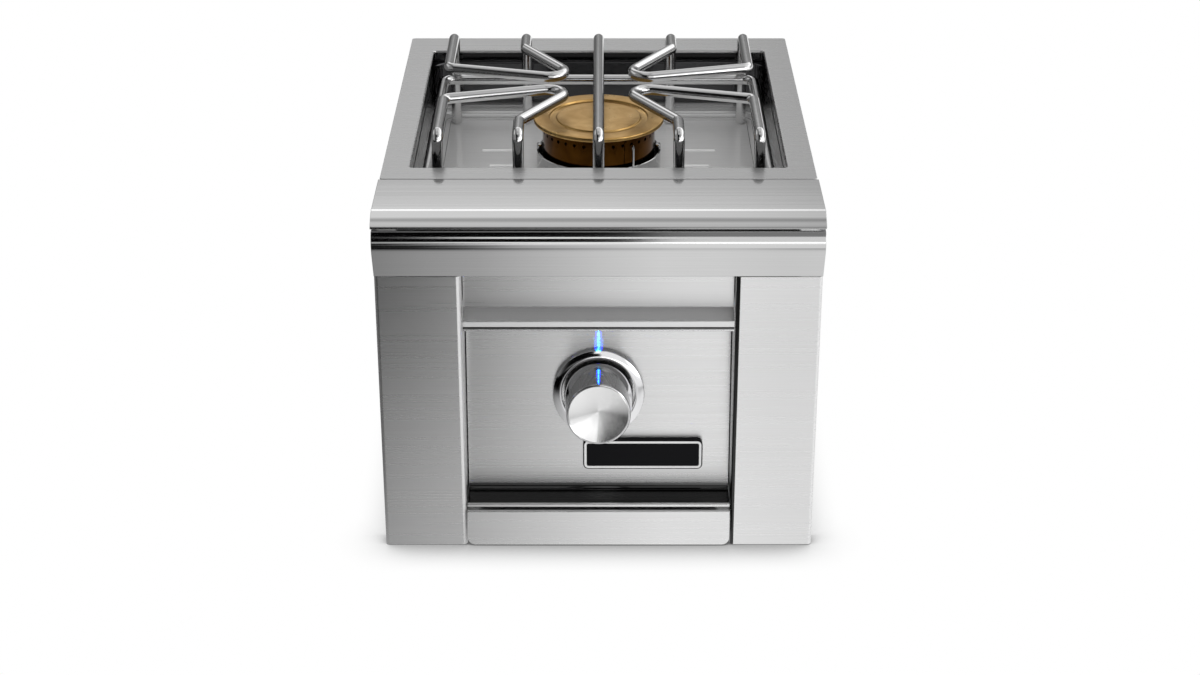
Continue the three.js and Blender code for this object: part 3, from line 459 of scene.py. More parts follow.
@dataclass(frozen=True)
class RolledSteel(Finish):
    """Bright cold-rolled sheet of the well, with faint drawing marks."""

    name: str = "pan_shade_painted"
    slot: str = "pan_steel"
    tone: Triple = (0.82, 0.82, 0.82)
    roughness: float = 0.09
    metal: float = 1.0
    # Heights over which the colour darkens into painted shade, in metres; equal ends paint none.
    fade: Pair = (0.0, 0.0)

    def paint(self, sheet: NodeSheet) -> None:
        """Lays the look on a sheet.

        Args:
            sheet: The sheet.
        """
        marks = sheet.noise((30.0, 420.0, 420.0), detail=3.0, distortion=0.2)
        tone = sheet.tones(marks, shaded(self.tone, 0.95), self.tone)
        # Painted shade: the colour darkens with height.
        if self.fade[1] > self.fade[0]:
            tone = sheet.painted_shade_by_height(tone, self.fade)
        sheet.coat(tone, sheet.spread(marks, self.roughness - 0.02, self.roughness + 0.05))
        sheet.relief(sheet.noise((25.0, 25.0, 25.0), detail=1.0), 0.0002, 0.12)
        sheet.fixed(metallic=self.metal)


@dataclass(frozen=True)
class MillSteel(Finish):
    """Dull sheet of the hidden casing, with spangle and handling marks."""

    name: str = "mill_finish_sheet"
    slot: str = "casing_steel"
    tone: Triple = (0.55, 0.56, 0.57)
    roughness: float = 0.42

    def paint(self, sheet: NodeSheet) -> None:
        """Lays the look on a sheet.

        Args:
            sheet: The sheet.
        """
        spangle = sheet.noise((140.0, 140.0, 140.0), detail=4.0, distortion=1.2)
        smears = sheet.noise((9.0, 14.0, 6.0), detail=4.0, distortion=0.5)
        rough = sheet.spread(smears, self.roughness - 0.08, self.roughness + 0.1)
        sheet.coat(sheet.tones(spangle, shaded(self.tone, 0.88), self.tone), rough)
        sheet.relief(sheet.noise((1200.0, 1200.0, 1200.0)), 0.00001, 0.3)
        sheet.fixed(metallic=1.0)


@dataclass(frozen=True)
class Coating(Finish):
    """A coat, plastic or glaze: not a metal.

    Attributes:
        texture: Counts of the surface texture per metre.
        depth: Depth of the texture in metres.
        shine: Strength of its mirror, 0.5 for a common coat.
        glow: Strength of the light it gives off.
        glow_tone: Colour of that light.
    """

    texture: float = 1800.0
    depth: float = 0.00004
    shine: float = 0.5
    glow: float = 0.0
    glow_tone: Triple = (0.0, 0.0, 0.0)

    def paint(self, sheet: NodeSheet) -> None:
        """Lays the look on a sheet.

        Args:
            sheet: The sheet.
        """
        grit = sheet.noise((self.texture, self.texture, self.texture), detail=3.0)
        rough = sheet.spread(grit, self.roughness - 0.03, self.roughness + 0.03)
        sheet.coat(sheet.tones(grit, shaded(self.tone, 0.85), self.tone), rough)
        sheet.relief(grit, self.depth, 0.3)
        sheet.fixed(specular_ior_level=self.shine)
        if self.glow > 0.0:
            sheet.fixed(emission_color=(*self.glow_tone, 1.0), emission_strength=self.glow)


BRUSHED = BrushedSteel(roughness=0.28, variation=0.02, stretch=0.85)
# Lighter, partly scattering copy of the brushed steel for the flare: painted light.
FLARE_PAINTED_LIGHT = BrushedSteel(name="flare_light_painted", tone=(0.62, 0.62, 0.62), roughness=0.25, metal=0.7)
DRAWN = BrushedSteel(name="drawn_stainless", tone=(0.95, 0.95, 0.95), roughness=0.08,
                     variation=0.03, stretch=0.3)
RAIL = BrushedSteel(name="rail_stainless", tone=(0.64, 0.64, 0.64), roughness=0.08, variation=0.03,
                    stretch=0.3)
# Bright, partly scattering copy of the brushed steel for the left post's inner bend and the hood's
# lip: a painted highlight.
EDGE_PAINTED_HIGHLIGHT = BrushedSteel(name="edge_highlight_painted", tone=(0.74, 0.74, 0.74), roughness=0.3, variation=0.02,
                      metal=0.45)
# Near-black copy of the brushed steel for the ledge: a painted dark reflection.
LEDGE_PAINTED_REFLECTION = BrushedSteel(name="ledge_reflection_painted", tone=(0.09, 0.09, 0.09), roughness=0.1, variation=0.02,
                     stretch=0.3)
SHADED = BrushedSteel(name="unlit_edge", tone=(0.05, 0.05, 0.05), roughness=0.2, variation=0.02)
POLISHED = PolishedSteel()
ROD_POLISH = PolishedSteel(name="polished_rod", tone=(0.82, 0.82, 0.82), roughness=0.1, marks=0.05)
TURNED = TurnedSteel()
CAP_BRASS = Brass()
# Near-black copy of the brass for the bowl: painted shade.
SKIRT_PAINTED_SHADE = Brass(name="skirt_shade_painted", tone=(0.15, 0.06, 0.009), patina=(0.05, 0.018, 0.003),
                    roughness=0.14)
DECK_STEEL = BrushedSteel(name="deck_stainless", tone=(0.67, 0.67, 0.67), roughness=0.28,
                          variation=0.02, stretch=0.85)
# Near-black copy of the rolled steel for the pan and the opening's lip: painted shade.
PAN_PAINTED_SHADE = RolledSteel(tone=(0.1, 0.1, 0.103), roughness=0.07)
CUP_STEEL = RolledSteel(name="drawn_cup", tone=(0.5, 0.5, 0.5), roughness=0.06)
# Light, partly scattering copy of the rolled steel for the pan's floor: painted light, darkening
# into painted shade up the fillet.
PAN_FLOOR_PAINTED_LIGHT = RolledSteel(name="pan_floor_light_painted", tone=(0.95, 0.95, 0.95), roughness=0.1, metal=0.35,
                        fade=(0.234, 0.246))
CASING = MillSteel()
ZINC = MillSteel(name="zinc_screw", tone=(0.72, 0.72, 0.7), roughness=0.3)
PLATE_BLACK = Coating("plate_enamel", "plate_black", (0.004, 0.004, 0.005), 0.16, depth=0.00001,
                      shine=0.08)
PLATE_LINE = Coating("plate_line", "plate_black", (0.85, 0.85, 0.85), 0.3, depth=0.00001)
CERAMIC = Coating("electrode_ceramic_white", "ceramic", (0.78, 0.75, 0.68), 0.45)
BLACK_PLASTIC = Coating("moulded_black", "black_plastic", (0.02, 0.02, 0.022), 0.5)
WIRE_JACKET = Coating("silicone_red", "wire_jacket", (0.36, 0.035, 0.02), 0.55)
BLUE_LENS = Coating("lit_blue_lens", "blue_lens", (0.02, 0.1, 0.8), 0.1, glow=1.6,
                    glow_tone=(0.0, 0.22, 1.0))


class Paints:
    """Materials by finish, each built once."""

    def __init__(self) -> None:
        """Starts with no materials."""
        self._made: dict[str, bpy.types.Material] = {}

    def of(self, finish: Finish) -> bpy.types.Material:
        """The material of a finish.

        Args:
            finish: One of the frozen finishes.

        Returns:
            Its material, built when it is first asked for.
        """
        if finish.name not in self._made:
            self._made[finish.name] = finish.material()
        return self._made[finish.name]


def left_of(direction: Vector) -> Vector:
    """The normal on the left of a direction in a plane."""
    return Vector((-direction.y, direction.x))


def turned_by(vector: Vector, angle: float) -> Vector:
    """A plane vector turned by an angle."""
    return Matrix.Rotation(angle, 2) @ vector


def bend(points: list[Pair], radii: list[float], facet: float = 7.5) -> list[Station]:
    """Stations of a line whose corners are rounded.

    Args:
        points: Corners of the line.
        radii: Bend radius at each corner; 0 keeps it sharp.
        facet: Angle between stations in a bend, in degrees.

    Returns:
        Pairs of a place and the normal on its left, which is stretched at a sharp corner.
    """
    corners = [Vector(p) for p in points]
    stations: list[Station] = []
    last = len(corners) - 1
    for i, corner in enumerate(corners):
        before = (corner - corners[i - 1]).normalized() if i > 0 else None
        after = (corners[i + 1] - corner).normalized() if i < last else None
        if before is None or after is None:
            stations.append((corner, left_of(before or after)))
            continue
        turn = math.atan2(before.x * after.y - before.y * after.x, before.dot(after))
        if radii[i] == 0 or abs(turn) < NEARLY_NOTHING:
            normal = (left_of(before) + left_of(after)).normalized()
            stations.append((corner, normal / normal.dot(left_of(before))))
            continue
        start = corner - before * radii[i] * math.tan(abs(turn) / 2)
        centre = start + left_of(before) * radii[i] * math.copysign(1.0, turn)
        steps = max(2, math.ceil(abs(turn) / math.radians(facet)))
        for step in range(steps + 1):
            angle = turn * step / steps
            place = centre + turned_by(start - centre, angle)
            stations.append((place, turned_by(left_of(before), angle)))
    return stations


def pairs(points: list[Vector]) -> list[Pair]:
    """Plane vectors as pairs."""
    return [(p.x, p.y) for p in points]


def inner_line(points: list[Pair], radii: list[float], thickness: float) -> list[Pair]:
    """Inner face of a bent sheet, sharp where a bend is tighter than the sheet is thick.

    Args:
        points: Corners of the face line.
        radii: Bend radii of the face line.
        thickness: How far the inner face lies to the left of the face line.

    Returns:
        Points of the inner face, in the order of the face line.
    """
    tight = [r if r > abs(thickness) else 0.0 for r in radii]
    return [tuple(s + n * thickness) for s, n in bend(points, tight)]


def sheet_outline(points: list[Pair], radii: list[float], thickness: float) -> list[Pair]:
    """Closed outline of a bent sheet whose metal lies on the left of its face line.

    Args:
        points: Corners of the face line.
        radii: Bend radii of the face line.
        thickness: Thickness of the sheet.

    Returns:
        The outline's points.
    """
    return pairs([s for s, _ in bend(points, radii)]) + inner_line(points, radii, thickness)[::-1]


def hemmed(stations: list[Station], thickness: float, edge: float) -> tuple[list[Pair], list[Pair]]:
    """Face and back of a bent sheet whose back stops at a hem.

    Args:
        stations: Places on the face and the normals into the sheet.
        thickness: Thickness of the sheet.
        edge: Where the hem ends, from the front.

    Returns:
        The face, and the back in the opposite order.
    """
    back = pairs([s + n * thickness for s, n in reversed(stations)])
    return pairs([s for s, _ in stations]), [p for p in back if p[0] > edge]


def half_round(centre: Pair, radius: float, start: float, end: float,
               steps: int = 10) -> list[Pair]:
    """Points of an arc between two angles in degrees."""
    angles = [math.radians(start + (end - start) * i / steps) for i in range(steps + 1)]
    return [(centre[0] + radius * math.cos(a), centre[1] + radius * math.sin(a)) for a in angles]


def rounded_loop(x: Pair, y: Pair, radius: float, z: float, steps: int = 8) -> list[Triple]:
    """Points of a rounded rectangle at one height, counter-clockwise.

    Args:
        x: Lowest and highest X.
        y: Lowest and highest Y.
        radius: Corner radius.
        z: Height.
        steps: Facets in a corner.

    Returns:
        The loop's points.
    """
    r = max(radius, 0.05)
    centres = [(x[1] - r, y[1] - r, 0), (x[0] + r, y[1] - r, 90), (x[0] + r, y[0] + r, 180),
               (x[1] - r, y[0] + r, 270)]
    loop: list[Triple] = []
    for cx, cy, start in centres:
        loop += [(u, v, z) for u, v in half_round((cx, cy), r, start, start + 90, steps)]
    return loop


def moved_loop(x: Pair, y: Pair, radius: float, out: float, z: float,
               steps: int = 8) -> list[Triple]:
    """A rounded rectangle with its sides moved out by a distance, at one height."""
    return rounded_loop((x[0] - out, x[1] + out), (y[0] - out, y[1] + out), radius + out, z, steps)


def welded(mesh: bpy.types.Mesh) -> None:
    """Joins corners that share a place and turns all faces outward.

    Args:
        mesh: The mesh, which is changed.
    """
    shell = bmesh.new()
    shell.from_mesh(mesh)
    bmesh.ops.remove_doubles(shell, verts=shell.verts, dist=WELD_REACH)
    bmesh.ops.recalc_face_normals(shell, faces=shell.faces)
    shell.to_mesh(mesh)
    shell.free()


class Workshop:
    """Makes mesh pieces in millimetres and puts them in the row frame."""

    def __init__(self, rear_of_deck: float, paints: Paints) -> None:
        """Finds the row frame's place.

        Args:
            rear_of_deck: The rear edge of the deck from the pillar faces, in millimetres.
            paints: The materials.
        """
        self.paints = paints
        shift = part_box("deck_plate")[1][1] - rear_of_deck / 1000.0
        self.to_row = Matrix.Translation((0.0, shift, 0.0)) @ Matrix.Scale(0.001, 4)

    def mesh(self, name: str, verts: list[Vector], faces: list[Face]) -> bpy.types.Mesh:
        """Makes a mesh in the row frame.

        Args:
            name: The mesh's name.
            verts: Its corners in millimetres.
            faces: Its faces.

        Returns:
            The mesh.
        """
        mesh = bpy.data.meshes.new(name)
        mesh.from_pydata([self.to_row @ Vector(v) for v in verts], [], [list(f) for f in faces])
        return mesh

    def piece(
        self,
        name: str,
        verts: list[Vector],
        faces: list[Face],
        finish: Finish,
        body: Body = Body.HOUSING,
        uvs: list[Pair] | None = None,
        edge: float = 0.0,
        sharp: float = 32.0,
        replaces: tuple[str, ...] = (),
    ) -> bpy.types.Object:
        """Makes one piece.

        Args:
            name: The piece's name.
            verts: Its corners in millimetres.
            faces: Its faces.
            finish: What it is dressed in.
            body: The body that it rides on.
            uvs: Grain coordinates of each corner; without them U follows Y and Z, and V follows X.
            edge: Width of its broken edges, or 0.
            sharp: Angle in degrees above which an edge shows as sharp.
            replaces: CAD nodes that it stands for.

        Returns:
            The object.
        """
        mesh = self.mesh(name, verts, faces)
        layer = mesh.uv_layers.new(name="grain")
        uvs = uvs or [(v[2] + v[1] * GRAIN_PER_HEIGHT, v[0]) for v in verts]
        for loop in mesh.loops:
            layer.data[loop.index].uv = uvs[loop.vertex_index]
        welded(mesh)
        mesh.shade_smooth()
        mesh.set_sharp_from_angle(angle=math.radians(sharp))
        mesh.materials.append(self.paints.of(finish))
        thing = bpy.data.objects.new(name, mesh)
        bpy.context.scene.collection.objects.link(thing)
        if edge > 0.0:
            bevel = thing.modifiers.new("broken_edges", "BEVEL")
            bevel.width = edge / 1000.0
            bevel.segments = 2
            bevel.limit_method = "ANGLE"
            bevel.angle_limit = math.radians(BROKEN_ABOVE)
            bevel.harden_normals = True
        flats = thing.modifiers.new("true_flats", "WEIGHTED_NORMAL")
        flats.keep_sharp = True
        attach(thing, body.value)
        for node in replaces:
            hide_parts(node)
        LOG.info("piece %s: %d faces", name, len(mesh.polygons))
        return thing

    def drawn(self, name: str, outlines: list[Draw], axes: str, finish: Finish,
              **more: object) -> bpy.types.Object:
        """Makes a piece of outlines drawn out along an axis, with more arguments of `piece`."""
        return self.piece(name, *self.prism(outlines, axes), finish, **more)

    def skin(self, name: str, stations: list[Station], half: float, finish: Finish) -> None:
        """Dresses a part of a sheet's face with a thin skin of another finish, which paints light
        or shade on it.

        Args:
            name: The piece's name.
            stations: Places on the face and the normals into the sheet.
            half: Half of the sheet's width.
            finish: What it is dressed in.
        """
        face = [s - n * SKIN_LIFT for s, n in stations]
        back = [s + n * SKIN_DEPTH for s, n in reversed(stations)]
        ends = (SKIN_INSET - half, half - SKIN_INSET)
        self.drawn(name, [(pairs(face + back), *ends)], "yzx", finish)

    def turned(
        self,
        name: str,
        profile: list[Pair],
        matrix: Matrix,
        finish: Finish,
        body: Body = Body.HOUSING,
        segments: int = 128,
        **more: object,
    ) -> bpy.types.Object:
        """Makes a turned piece.

        Args:
            name: The piece's name.
            profile: Points of (radius, height), from axis to axis or round a ring.
            matrix: Places the turned axis, in millimetres.
            finish: What it is dressed in.
            body: The body that it rides on.
            segments: Facets round the axis.
            more: More arguments of `piece`.

        Returns:
            The object.
        """
        verts, faces, uvs = self.lathe(profile, matrix, segments)
        return self.piece(name, verts, faces, finish, body, uvs, **more)

    def drill(self, matrix: Matrix, radius: float, ends: Pair, segments: int) -> Shape:
        """A round tool.

        Args:
            matrix: Places its axis, in millimetres.
            radius: Its radius.
            ends: Where it starts and ends along its axis.
            segments: Facets round the axis.

        Returns:
            Its corners and faces.
        """
        profile = [(0.0, ends[0]), (radius, ends[0]), (radius, ends[1]), (0.0, ends[1])]
        return self.lathe(profile, matrix, segments)[:2]

    @staticmethod
    def prism(outlines: list[Draw], axes: str) -> Shape:
        """Draws outlines out along an axis.

        Args:
            outlines: Closed outlines, each with where it starts and ends along the axis.
            axes: The axes of the outline and of the draw, such as "yzx".

        Returns:
            The corners and faces.
        """
        verts: list[Vector] = []
        faces: list[Face] = []
        order = ["xyz".index(a) for a in axes]
        for outline, start, end in outlines:
            base = len(verts)
            count = len(outline)
            for depth in (start, end):
                for u, v in outline:
                    place = [0.0, 0.0, 0.0]
                    for index, value in zip(order, (u, v, depth)):
                        place[index] = value
                    verts.append(Vector(place))
            faces.append(tuple(base + i for i in range(count)))
            faces.append(tuple(base + count + i for i in reversed(range(count))))
            for i in range(count):
                j = (i + 1) % count
                faces.append((base + i, base + j, base + count + j, base + count + i))
        return verts, faces

    @staticmethod
    def rings(loops: list[list[Triple]], closed: bool = False) -> Shape:
        """Joins loops of equal length one after another.

        Args:
            loops: The loops.
            closed: Joins the last loop to the first; otherwise both ends are filled.

        Returns:
            The corners and faces.
        """
        count = len(loops[0])
        verts = [Vector(p) for loop in loops for p in loop]
        faces: list[Face] = []
        for k in range(len(loops) if closed else len(loops) - 1):
            a, b = k * count, ((k + 1) % len(loops)) * count
            for i in range(count):
                j = (i + 1) % count
                faces.append((a + i, a + j, b + j, b + i))
        if not closed:
            faces.append(tuple(reversed(range(count))))
            faces.append(tuple((len(loops) - 1) * count + i for i in range(count)))
        return verts, faces

    @staticmethod
    def lathe(
        profile: list[Pair], matrix: Matrix, segments: int = 96
    ) -> tuple[list[Vector], list[Face], list[Pair]]:
        """Turns a closed profile about an axis.

        Args:
            profile: Points of (radius, height), from axis to axis or round a ring.
            matrix: Places the turned axis, in millimetres.
            segments: Facets round the axis.

        Returns:
            The corners, the faces and the grain coordinates.
        """
        ring_like = profile[0][0] > NEARLY_NOTHING
        points = profile if not ring_like else profile + [profile[0]]
        lengths = [0.0]
        for (r0, z0), (r1, z1) in zip(points, points[1:]):
            lengths.append(lengths[-1] + math.hypot(r1 - r0, z1 - z0))
        verts: list[Vector] = []
        uvs: list[Pair] = []
        faces: list[Face] = []
        for (radius, height), length in zip(points, lengths):
            for i in range(segments + 1):
                angle = 2 * math.pi * i / segments
                spot = Vector((radius * math.cos(angle), radius * math.sin(angle), height))
                verts.append(matrix @ spot)
                uvs.append((length, angle * GRAIN_PER_TURN))
        row = segments + 1
        for k in range(len(points) - 1):
            for i in range(segments):
                a, b = k * row + i, (k + 1) * row + i
                if points[k][0] < NEARLY_NOTHING:
                    faces.append((a, b + 1, b))
                elif points[k + 1][0] < NEARLY_NOTHING:
                    faces.append((a, a + 1, b))
                else:
                    faces.append((a, a + 1, b + 1, b))
        return verts, faces, uvs

    def carve(self, thing: bpy.types.Object, verts: list[Vector], faces: list[Face],
              operation: str = "DIFFERENCE") -> None:
        """Cuts a piece with a solid.

        Args:
            thing: The piece, which is changed.
            verts: Corners of the tool in millimetres.
            faces: Faces of the tool.
            operation: What is done with the tool, as Blender names it.
        """
        mesh = self.mesh("tool", verts, faces)
        welded(mesh)
        tool = bpy.data.objects.new("tool", mesh)
        bpy.context.scene.collection.objects.link(tool)
        cut = thing.modifiers.new("cut", "BOOLEAN")
        cut.object = tool
        cut.operation = operation
        cut.solver = "EXACT"
        others = [m for m in thing.modifiers if m != cut]
        for modifier in others:
            modifier.show_viewport = False
        bpy.context.view_layer.update()
        view = bpy.context.evaluated_depsgraph_get()
        result = bpy.data.meshes.new_from_object(thing.evaluated_get(view), depsgraph=view)
        thing.modifiers.remove(cut)
        for modifier in others:
            modifier.show_viewport = True
        thing.data = result
        bpy.data.objects.remove(tool)


def merged(parts: list[Shape]) -> Shape:
    """Puts several meshes' corners and faces into one list each.

    Args:
        parts: Corners and faces of each mesh.

    Returns:
        The corners and faces of them all.
    """
    verts: list[Vector] = []
    faces: list[Face] = []
    for some_verts, some_faces in parts:
        base = len(verts)
        verts += some_verts
        faces += [tuple(base + i for i in f) for f in some_faces]
    return verts, faces


@dataclass(frozen=True)
class Deck:
    """The flange round the well, rolled down at its opening."""

    half: float = 177.0
    front: float = 77.5
    rear: float = 439.6
    top: float = 296.0
    sheet: float = 1.5
    corner: float = 3.0
    opening_half: float = 154.0
    opening: Pair = (103.6, 403.2)
    lip_bottom: float = 285.5
    roll: float = 2.0

    def rings(self, spots: list[Pair]) -> list[list[Triple]]:
        """Loops round the opening, each moved out by a distance, at a height."""
        across = (-self.opening_half, self.opening_half)
        return [moved_loop(across, self.opening, self.corner, out, z) for out, z in spots]

    def build(self, shop: Workshop) -> None:
        """Makes the deck as one loop of sheet.

        Args:
            shop: The workshop.
        """
        outer = ((-self.half, self.half), (self.front, self.rear), self.corner)
        under = self.top - self.sheet
        roll = half_round((self.roll, self.top - self.roll), self.roll, 90, 180, 6)
        lip = [(0.0, self.lip_bottom), (self.sheet, self.lip_bottom), (self.sheet, under)]
        loops = [rounded_loop(*outer, under), rounded_loop(*outer, self.top),
                 *self.rings(roll + lip)]
        shop.piece("deck_flange", *shop.rings(loops, closed=True), DECK_STEEL, edge=0.3,
                   replaces=("deck_plate",))
        # The lip inside the opening gets a near-black skin: painted shade.
        high, low = self.top - self.roll - 0.4, self.lip_bottom + 0.1
        skin = self.rings([(-SKIN_LIFT, high), (-SKIN_LIFT, low), (SKIN_DEPTH, low),
                           (SKIN_DEPTH, high)])
        shop.piece("opening_lip", *shop.rings(skin, closed=True), PAN_PAINTED_SHADE)


@dataclass(frozen=True)
class FrontTrim:
    """The strip that rolls over the front edge, and the nosed rail below it."""

    half: float = 178.0
    rail_half: float = 177.0
    top: float = 296.0
    rear: float = 77.2
    sheet: float = 1.5
    roll_start: float = 13.5
    roll_radius: float = 21.6
    roll_angle: float = 56.0
    flange: float = 8.0
    nose: Pair = (-13.7, 276.1)
    nose_radius: float = 18.0
    rail_bottom: float = 244.2
    rail_step: float = 2.0
    rail_depths: Pair = (19.7, 18.7)
    gap: float = 0.3

    def toe(self) -> Pair:
        """The lower front edge of the roll.

        Returns:
            Its Y and Z.
        """
        angle = math.radians(self.roll_angle)
        y = self.roll_start - self.roll_radius * math.sin(angle)
        return y, self.top - self.roll_radius * (1 - math.cos(angle))

    def build_sheet(self, shop: Workshop, names: tuple[str, str], line: list[Pair],
                    radii: list[float], half: float, finish: Finish) -> None:
        """Makes a bent sheet with a plate just inside each end.

        Args:
            shop: The workshop.
            names: The piece's name and the CAD node that it stands for.
            line: The sheet's face line.
            radii: Its bend radii.
            half: Half of the sheet's width.
            finish: What it is dressed in.
        """
        end = inner_line(line, radii, self.sheet * 0.99)
        outlines = [(sheet_outline(line, radii, self.sheet), -half, half),
                    (end, -half, -half + self.sheet), (end, half - self.sheet, half)]
        shop.drawn(names[0], outlines, "yzx", finish, edge=0.3, replaces=(names[1],))

    def build(self, shop: Workshop) -> None:
        """Makes the trim and the rail.

        Args:
            shop: The workshop.
        """
        toe = self.toe()
        angle = math.radians(self.roll_angle)
        knee = self.roll_start - self.roll_radius * math.tan(angle / 2)
        line = [(self.rear, self.top - self.flange), (self.rear, self.top), (knee, self.top), toe]
        radii = [0.0, 1.2, self.roll_radius, 0.0]
        self.build_sheet(shop, ("rolled_trim", "front_trim"), line, radii, self.half, DRAWN)
        drop = self.sheet * math.cos(angle) + self.gap
        top = (toe[0] - drop / math.tan(angle) - self.rail_step, toe[1] - drop)
        line = [(self.rail_depths[0], top[1]), top, self.nose, (0.0, self.rail_bottom),
                (self.rail_depths[1], self.rail_bottom)]
        radii = [0.0, 0.3, self.nose_radius, 0.8, 0.0]
        self.build_sheet(shop, ("nosed_rail", "front_rail"), line, radii, self.rail_half, RAIL)


@dataclass(frozen=True)
class Pillars:
    """The two folded front posts."""

    inner: float = 109.0
    outer: float = 177.0
    top: float = 243.9
    sheet: float = 1.5
    depth: float = 46.0
    rear_half: float = 160.0
    outer_return: float = 16.0
    inner_bend: float = 3.6
    outer_bend: float = 3.0
    edge_lift: float = 0.05

    def build(self, shop: Workshop) -> None:
        """Makes both pillars.

        Args:
            shop: The workshop.
        """
        line = [(self.rear_half, self.depth), (self.inner, self.depth), (self.inner, 0.0),
                (self.outer, 0.0), (self.outer, self.outer_return)]
        outline = sheet_outline(line, [0.0, 3.0, self.inner_bend, self.outer_bend, 0.0], self.sheet)
        for name, side in SIDES.items():
            post = [([(side * x, y) for x, y in outline], 0.0, self.top)]
            shop.drawn(f"{name}_post", post, "xyz", BRUSHED, edge=0.25,
                       replaces=(f"pillar_{name}",))
        # The inner bends get skins of painted light: a painted highlight on the left, painted shade
        # on the right.
        self.build_edge(shop, "left", 264.0, 0.0, EDGE_PAINTED_HIGHLIGHT)
        self.build_edge(shop, "right", 262.0, 14.0, SHADED)

    def build_edge(self, shop: Workshop, name: str, end: float, run: float, finish: Finish) -> None:
        """Dresses a post's inner bend with a skin of painted light: a painted highlight on the left
        post, painted shade on the right.

        Args:
            shop: The workshop.
            name: Which post it is on.
            end: Angle at which it ends on the front face, in degrees.
            run: How far it runs along the return.
            finish: What it is dressed in.
        """
        r = self.inner_bend
        outer = half_round((self.inner + r, r), r + self.edge_lift, 180.0, end, 10)
        inner = half_round((self.inner + r, r), r - SKIN_DEPTH, 180.0, end, 10)
        if run:
            outer.insert(0, (self.inner - self.edge_lift, r + run))
            inner.insert(0, (self.inner + SKIN_DEPTH, r + run))
        outline = [(SIDES[name] * x, y) for x, y in outer + inner[::-1]]
        ends = (SKIN_INSET, self.top - SKIN_INSET)
        shop.drawn(f"{name}_post_edge", [(outline, *ends)], "xyz", finish)


@dataclass(frozen=True)
class Hood:
    """The fascia and flared lip over the panel, with a creased lower edge."""

    half: float = 108.4
    setback: float = 19.0
    top: float = 262.2
    knee: float = 209.4
    lip: Pair = (3.0, 203.9)
    crease: Pair = (199.0, 196.9)
    crease_depth: float = 2.0
    bottom: float = 194.7
    hem: float = 3.0
    sheet: float = 1.2

    def build(self, shop: Workshop) -> None:
        """Makes the hood.

        Args:
            shop: The workshop.
        """
        (front, lip), (high, low) = self.lip, self.crease
        edge, depth = front + self.hem, front + self.crease_depth
        line = [(self.setback, self.top), (self.setback, self.knee), self.lip, (front, high)]
        face, back = hemmed(bend(line, [0.0, 1.0, 1.0, 0.0]), self.sheet, edge)
        groove = [(front + 0.3, high - 0.4), (depth, high - 0.6), (depth, low + 0.3),
                  (front + 0.4, low)]
        radius = (low - self.bottom) / 2
        bead = half_round((front + radius, (low + self.bottom) / 2), radius, 130, 270, 8)
        slope = (self.knee - lip) / (self.setback - front)
        under = [(edge - 0.4, self.bottom), (edge, self.bottom + 0.4),
                 (edge, lip + slope * self.hem - self.sheet * 1.1)]
        outline = face + groove + bead + under + back
        shop.drawn("hood_sheet", [(outline, -self.half, self.half)], "yzx", BRUSHED, edge=0.15,
                   replaces=("hood",))
        # The flare gets a lighter, partly scattering skin: painted light.
        flare = [(self.setback - 0.6, self.knee - 0.6 * slope), (front + 0.5, lip + 0.5 * slope)]
        shop.skin("hood_flare", bend(flare, [0.0, 0.0]), self.half, FLARE_PAINTED_LIGHT)
        groove = [(front + 0.5, high - 0.5), (depth - 0.05, high - 0.65),
                  (depth - 0.05, low + 0.35), (front + 0.5, low + 0.1)]
        shop.drawn("hood_crease", [(groove, SKIN_INSET - self.half, self.half - SKIN_INSET)], "yzx",
                   SHADED)
        # The lip gets a bright, partly scattering skin: a painted highlight.
        shop.skin("hood_lip", bend([(front, lip - 0.9), (front, high)], [0.0, 0.0]), self.half,
                  EDGE_PAINTED_HIGHLIGHT)


@dataclass(frozen=True)
class KnobAxis:
    """The tilted line on which the knob, its bezel and the valve sit."""

    height: float = 126.0
    ledge_setback: float = 26.5
    ledge_height: float = 39.2
    tilt: float = 5.35

    def matrix(self) -> Matrix:
        """Places Z out of the panel and Y up along it.

        Returns:
            The placing, in millimetres.
        """
        lean = math.tan(math.radians(self.tilt))
        y = self.ledge_setback + (self.height - self.ledge_height) * lean
        turn = Matrix.Rotation(math.radians(90.0 - self.tilt), 4, "X")
        return Matrix.Translation((0.0, y, self.height)) @ turn


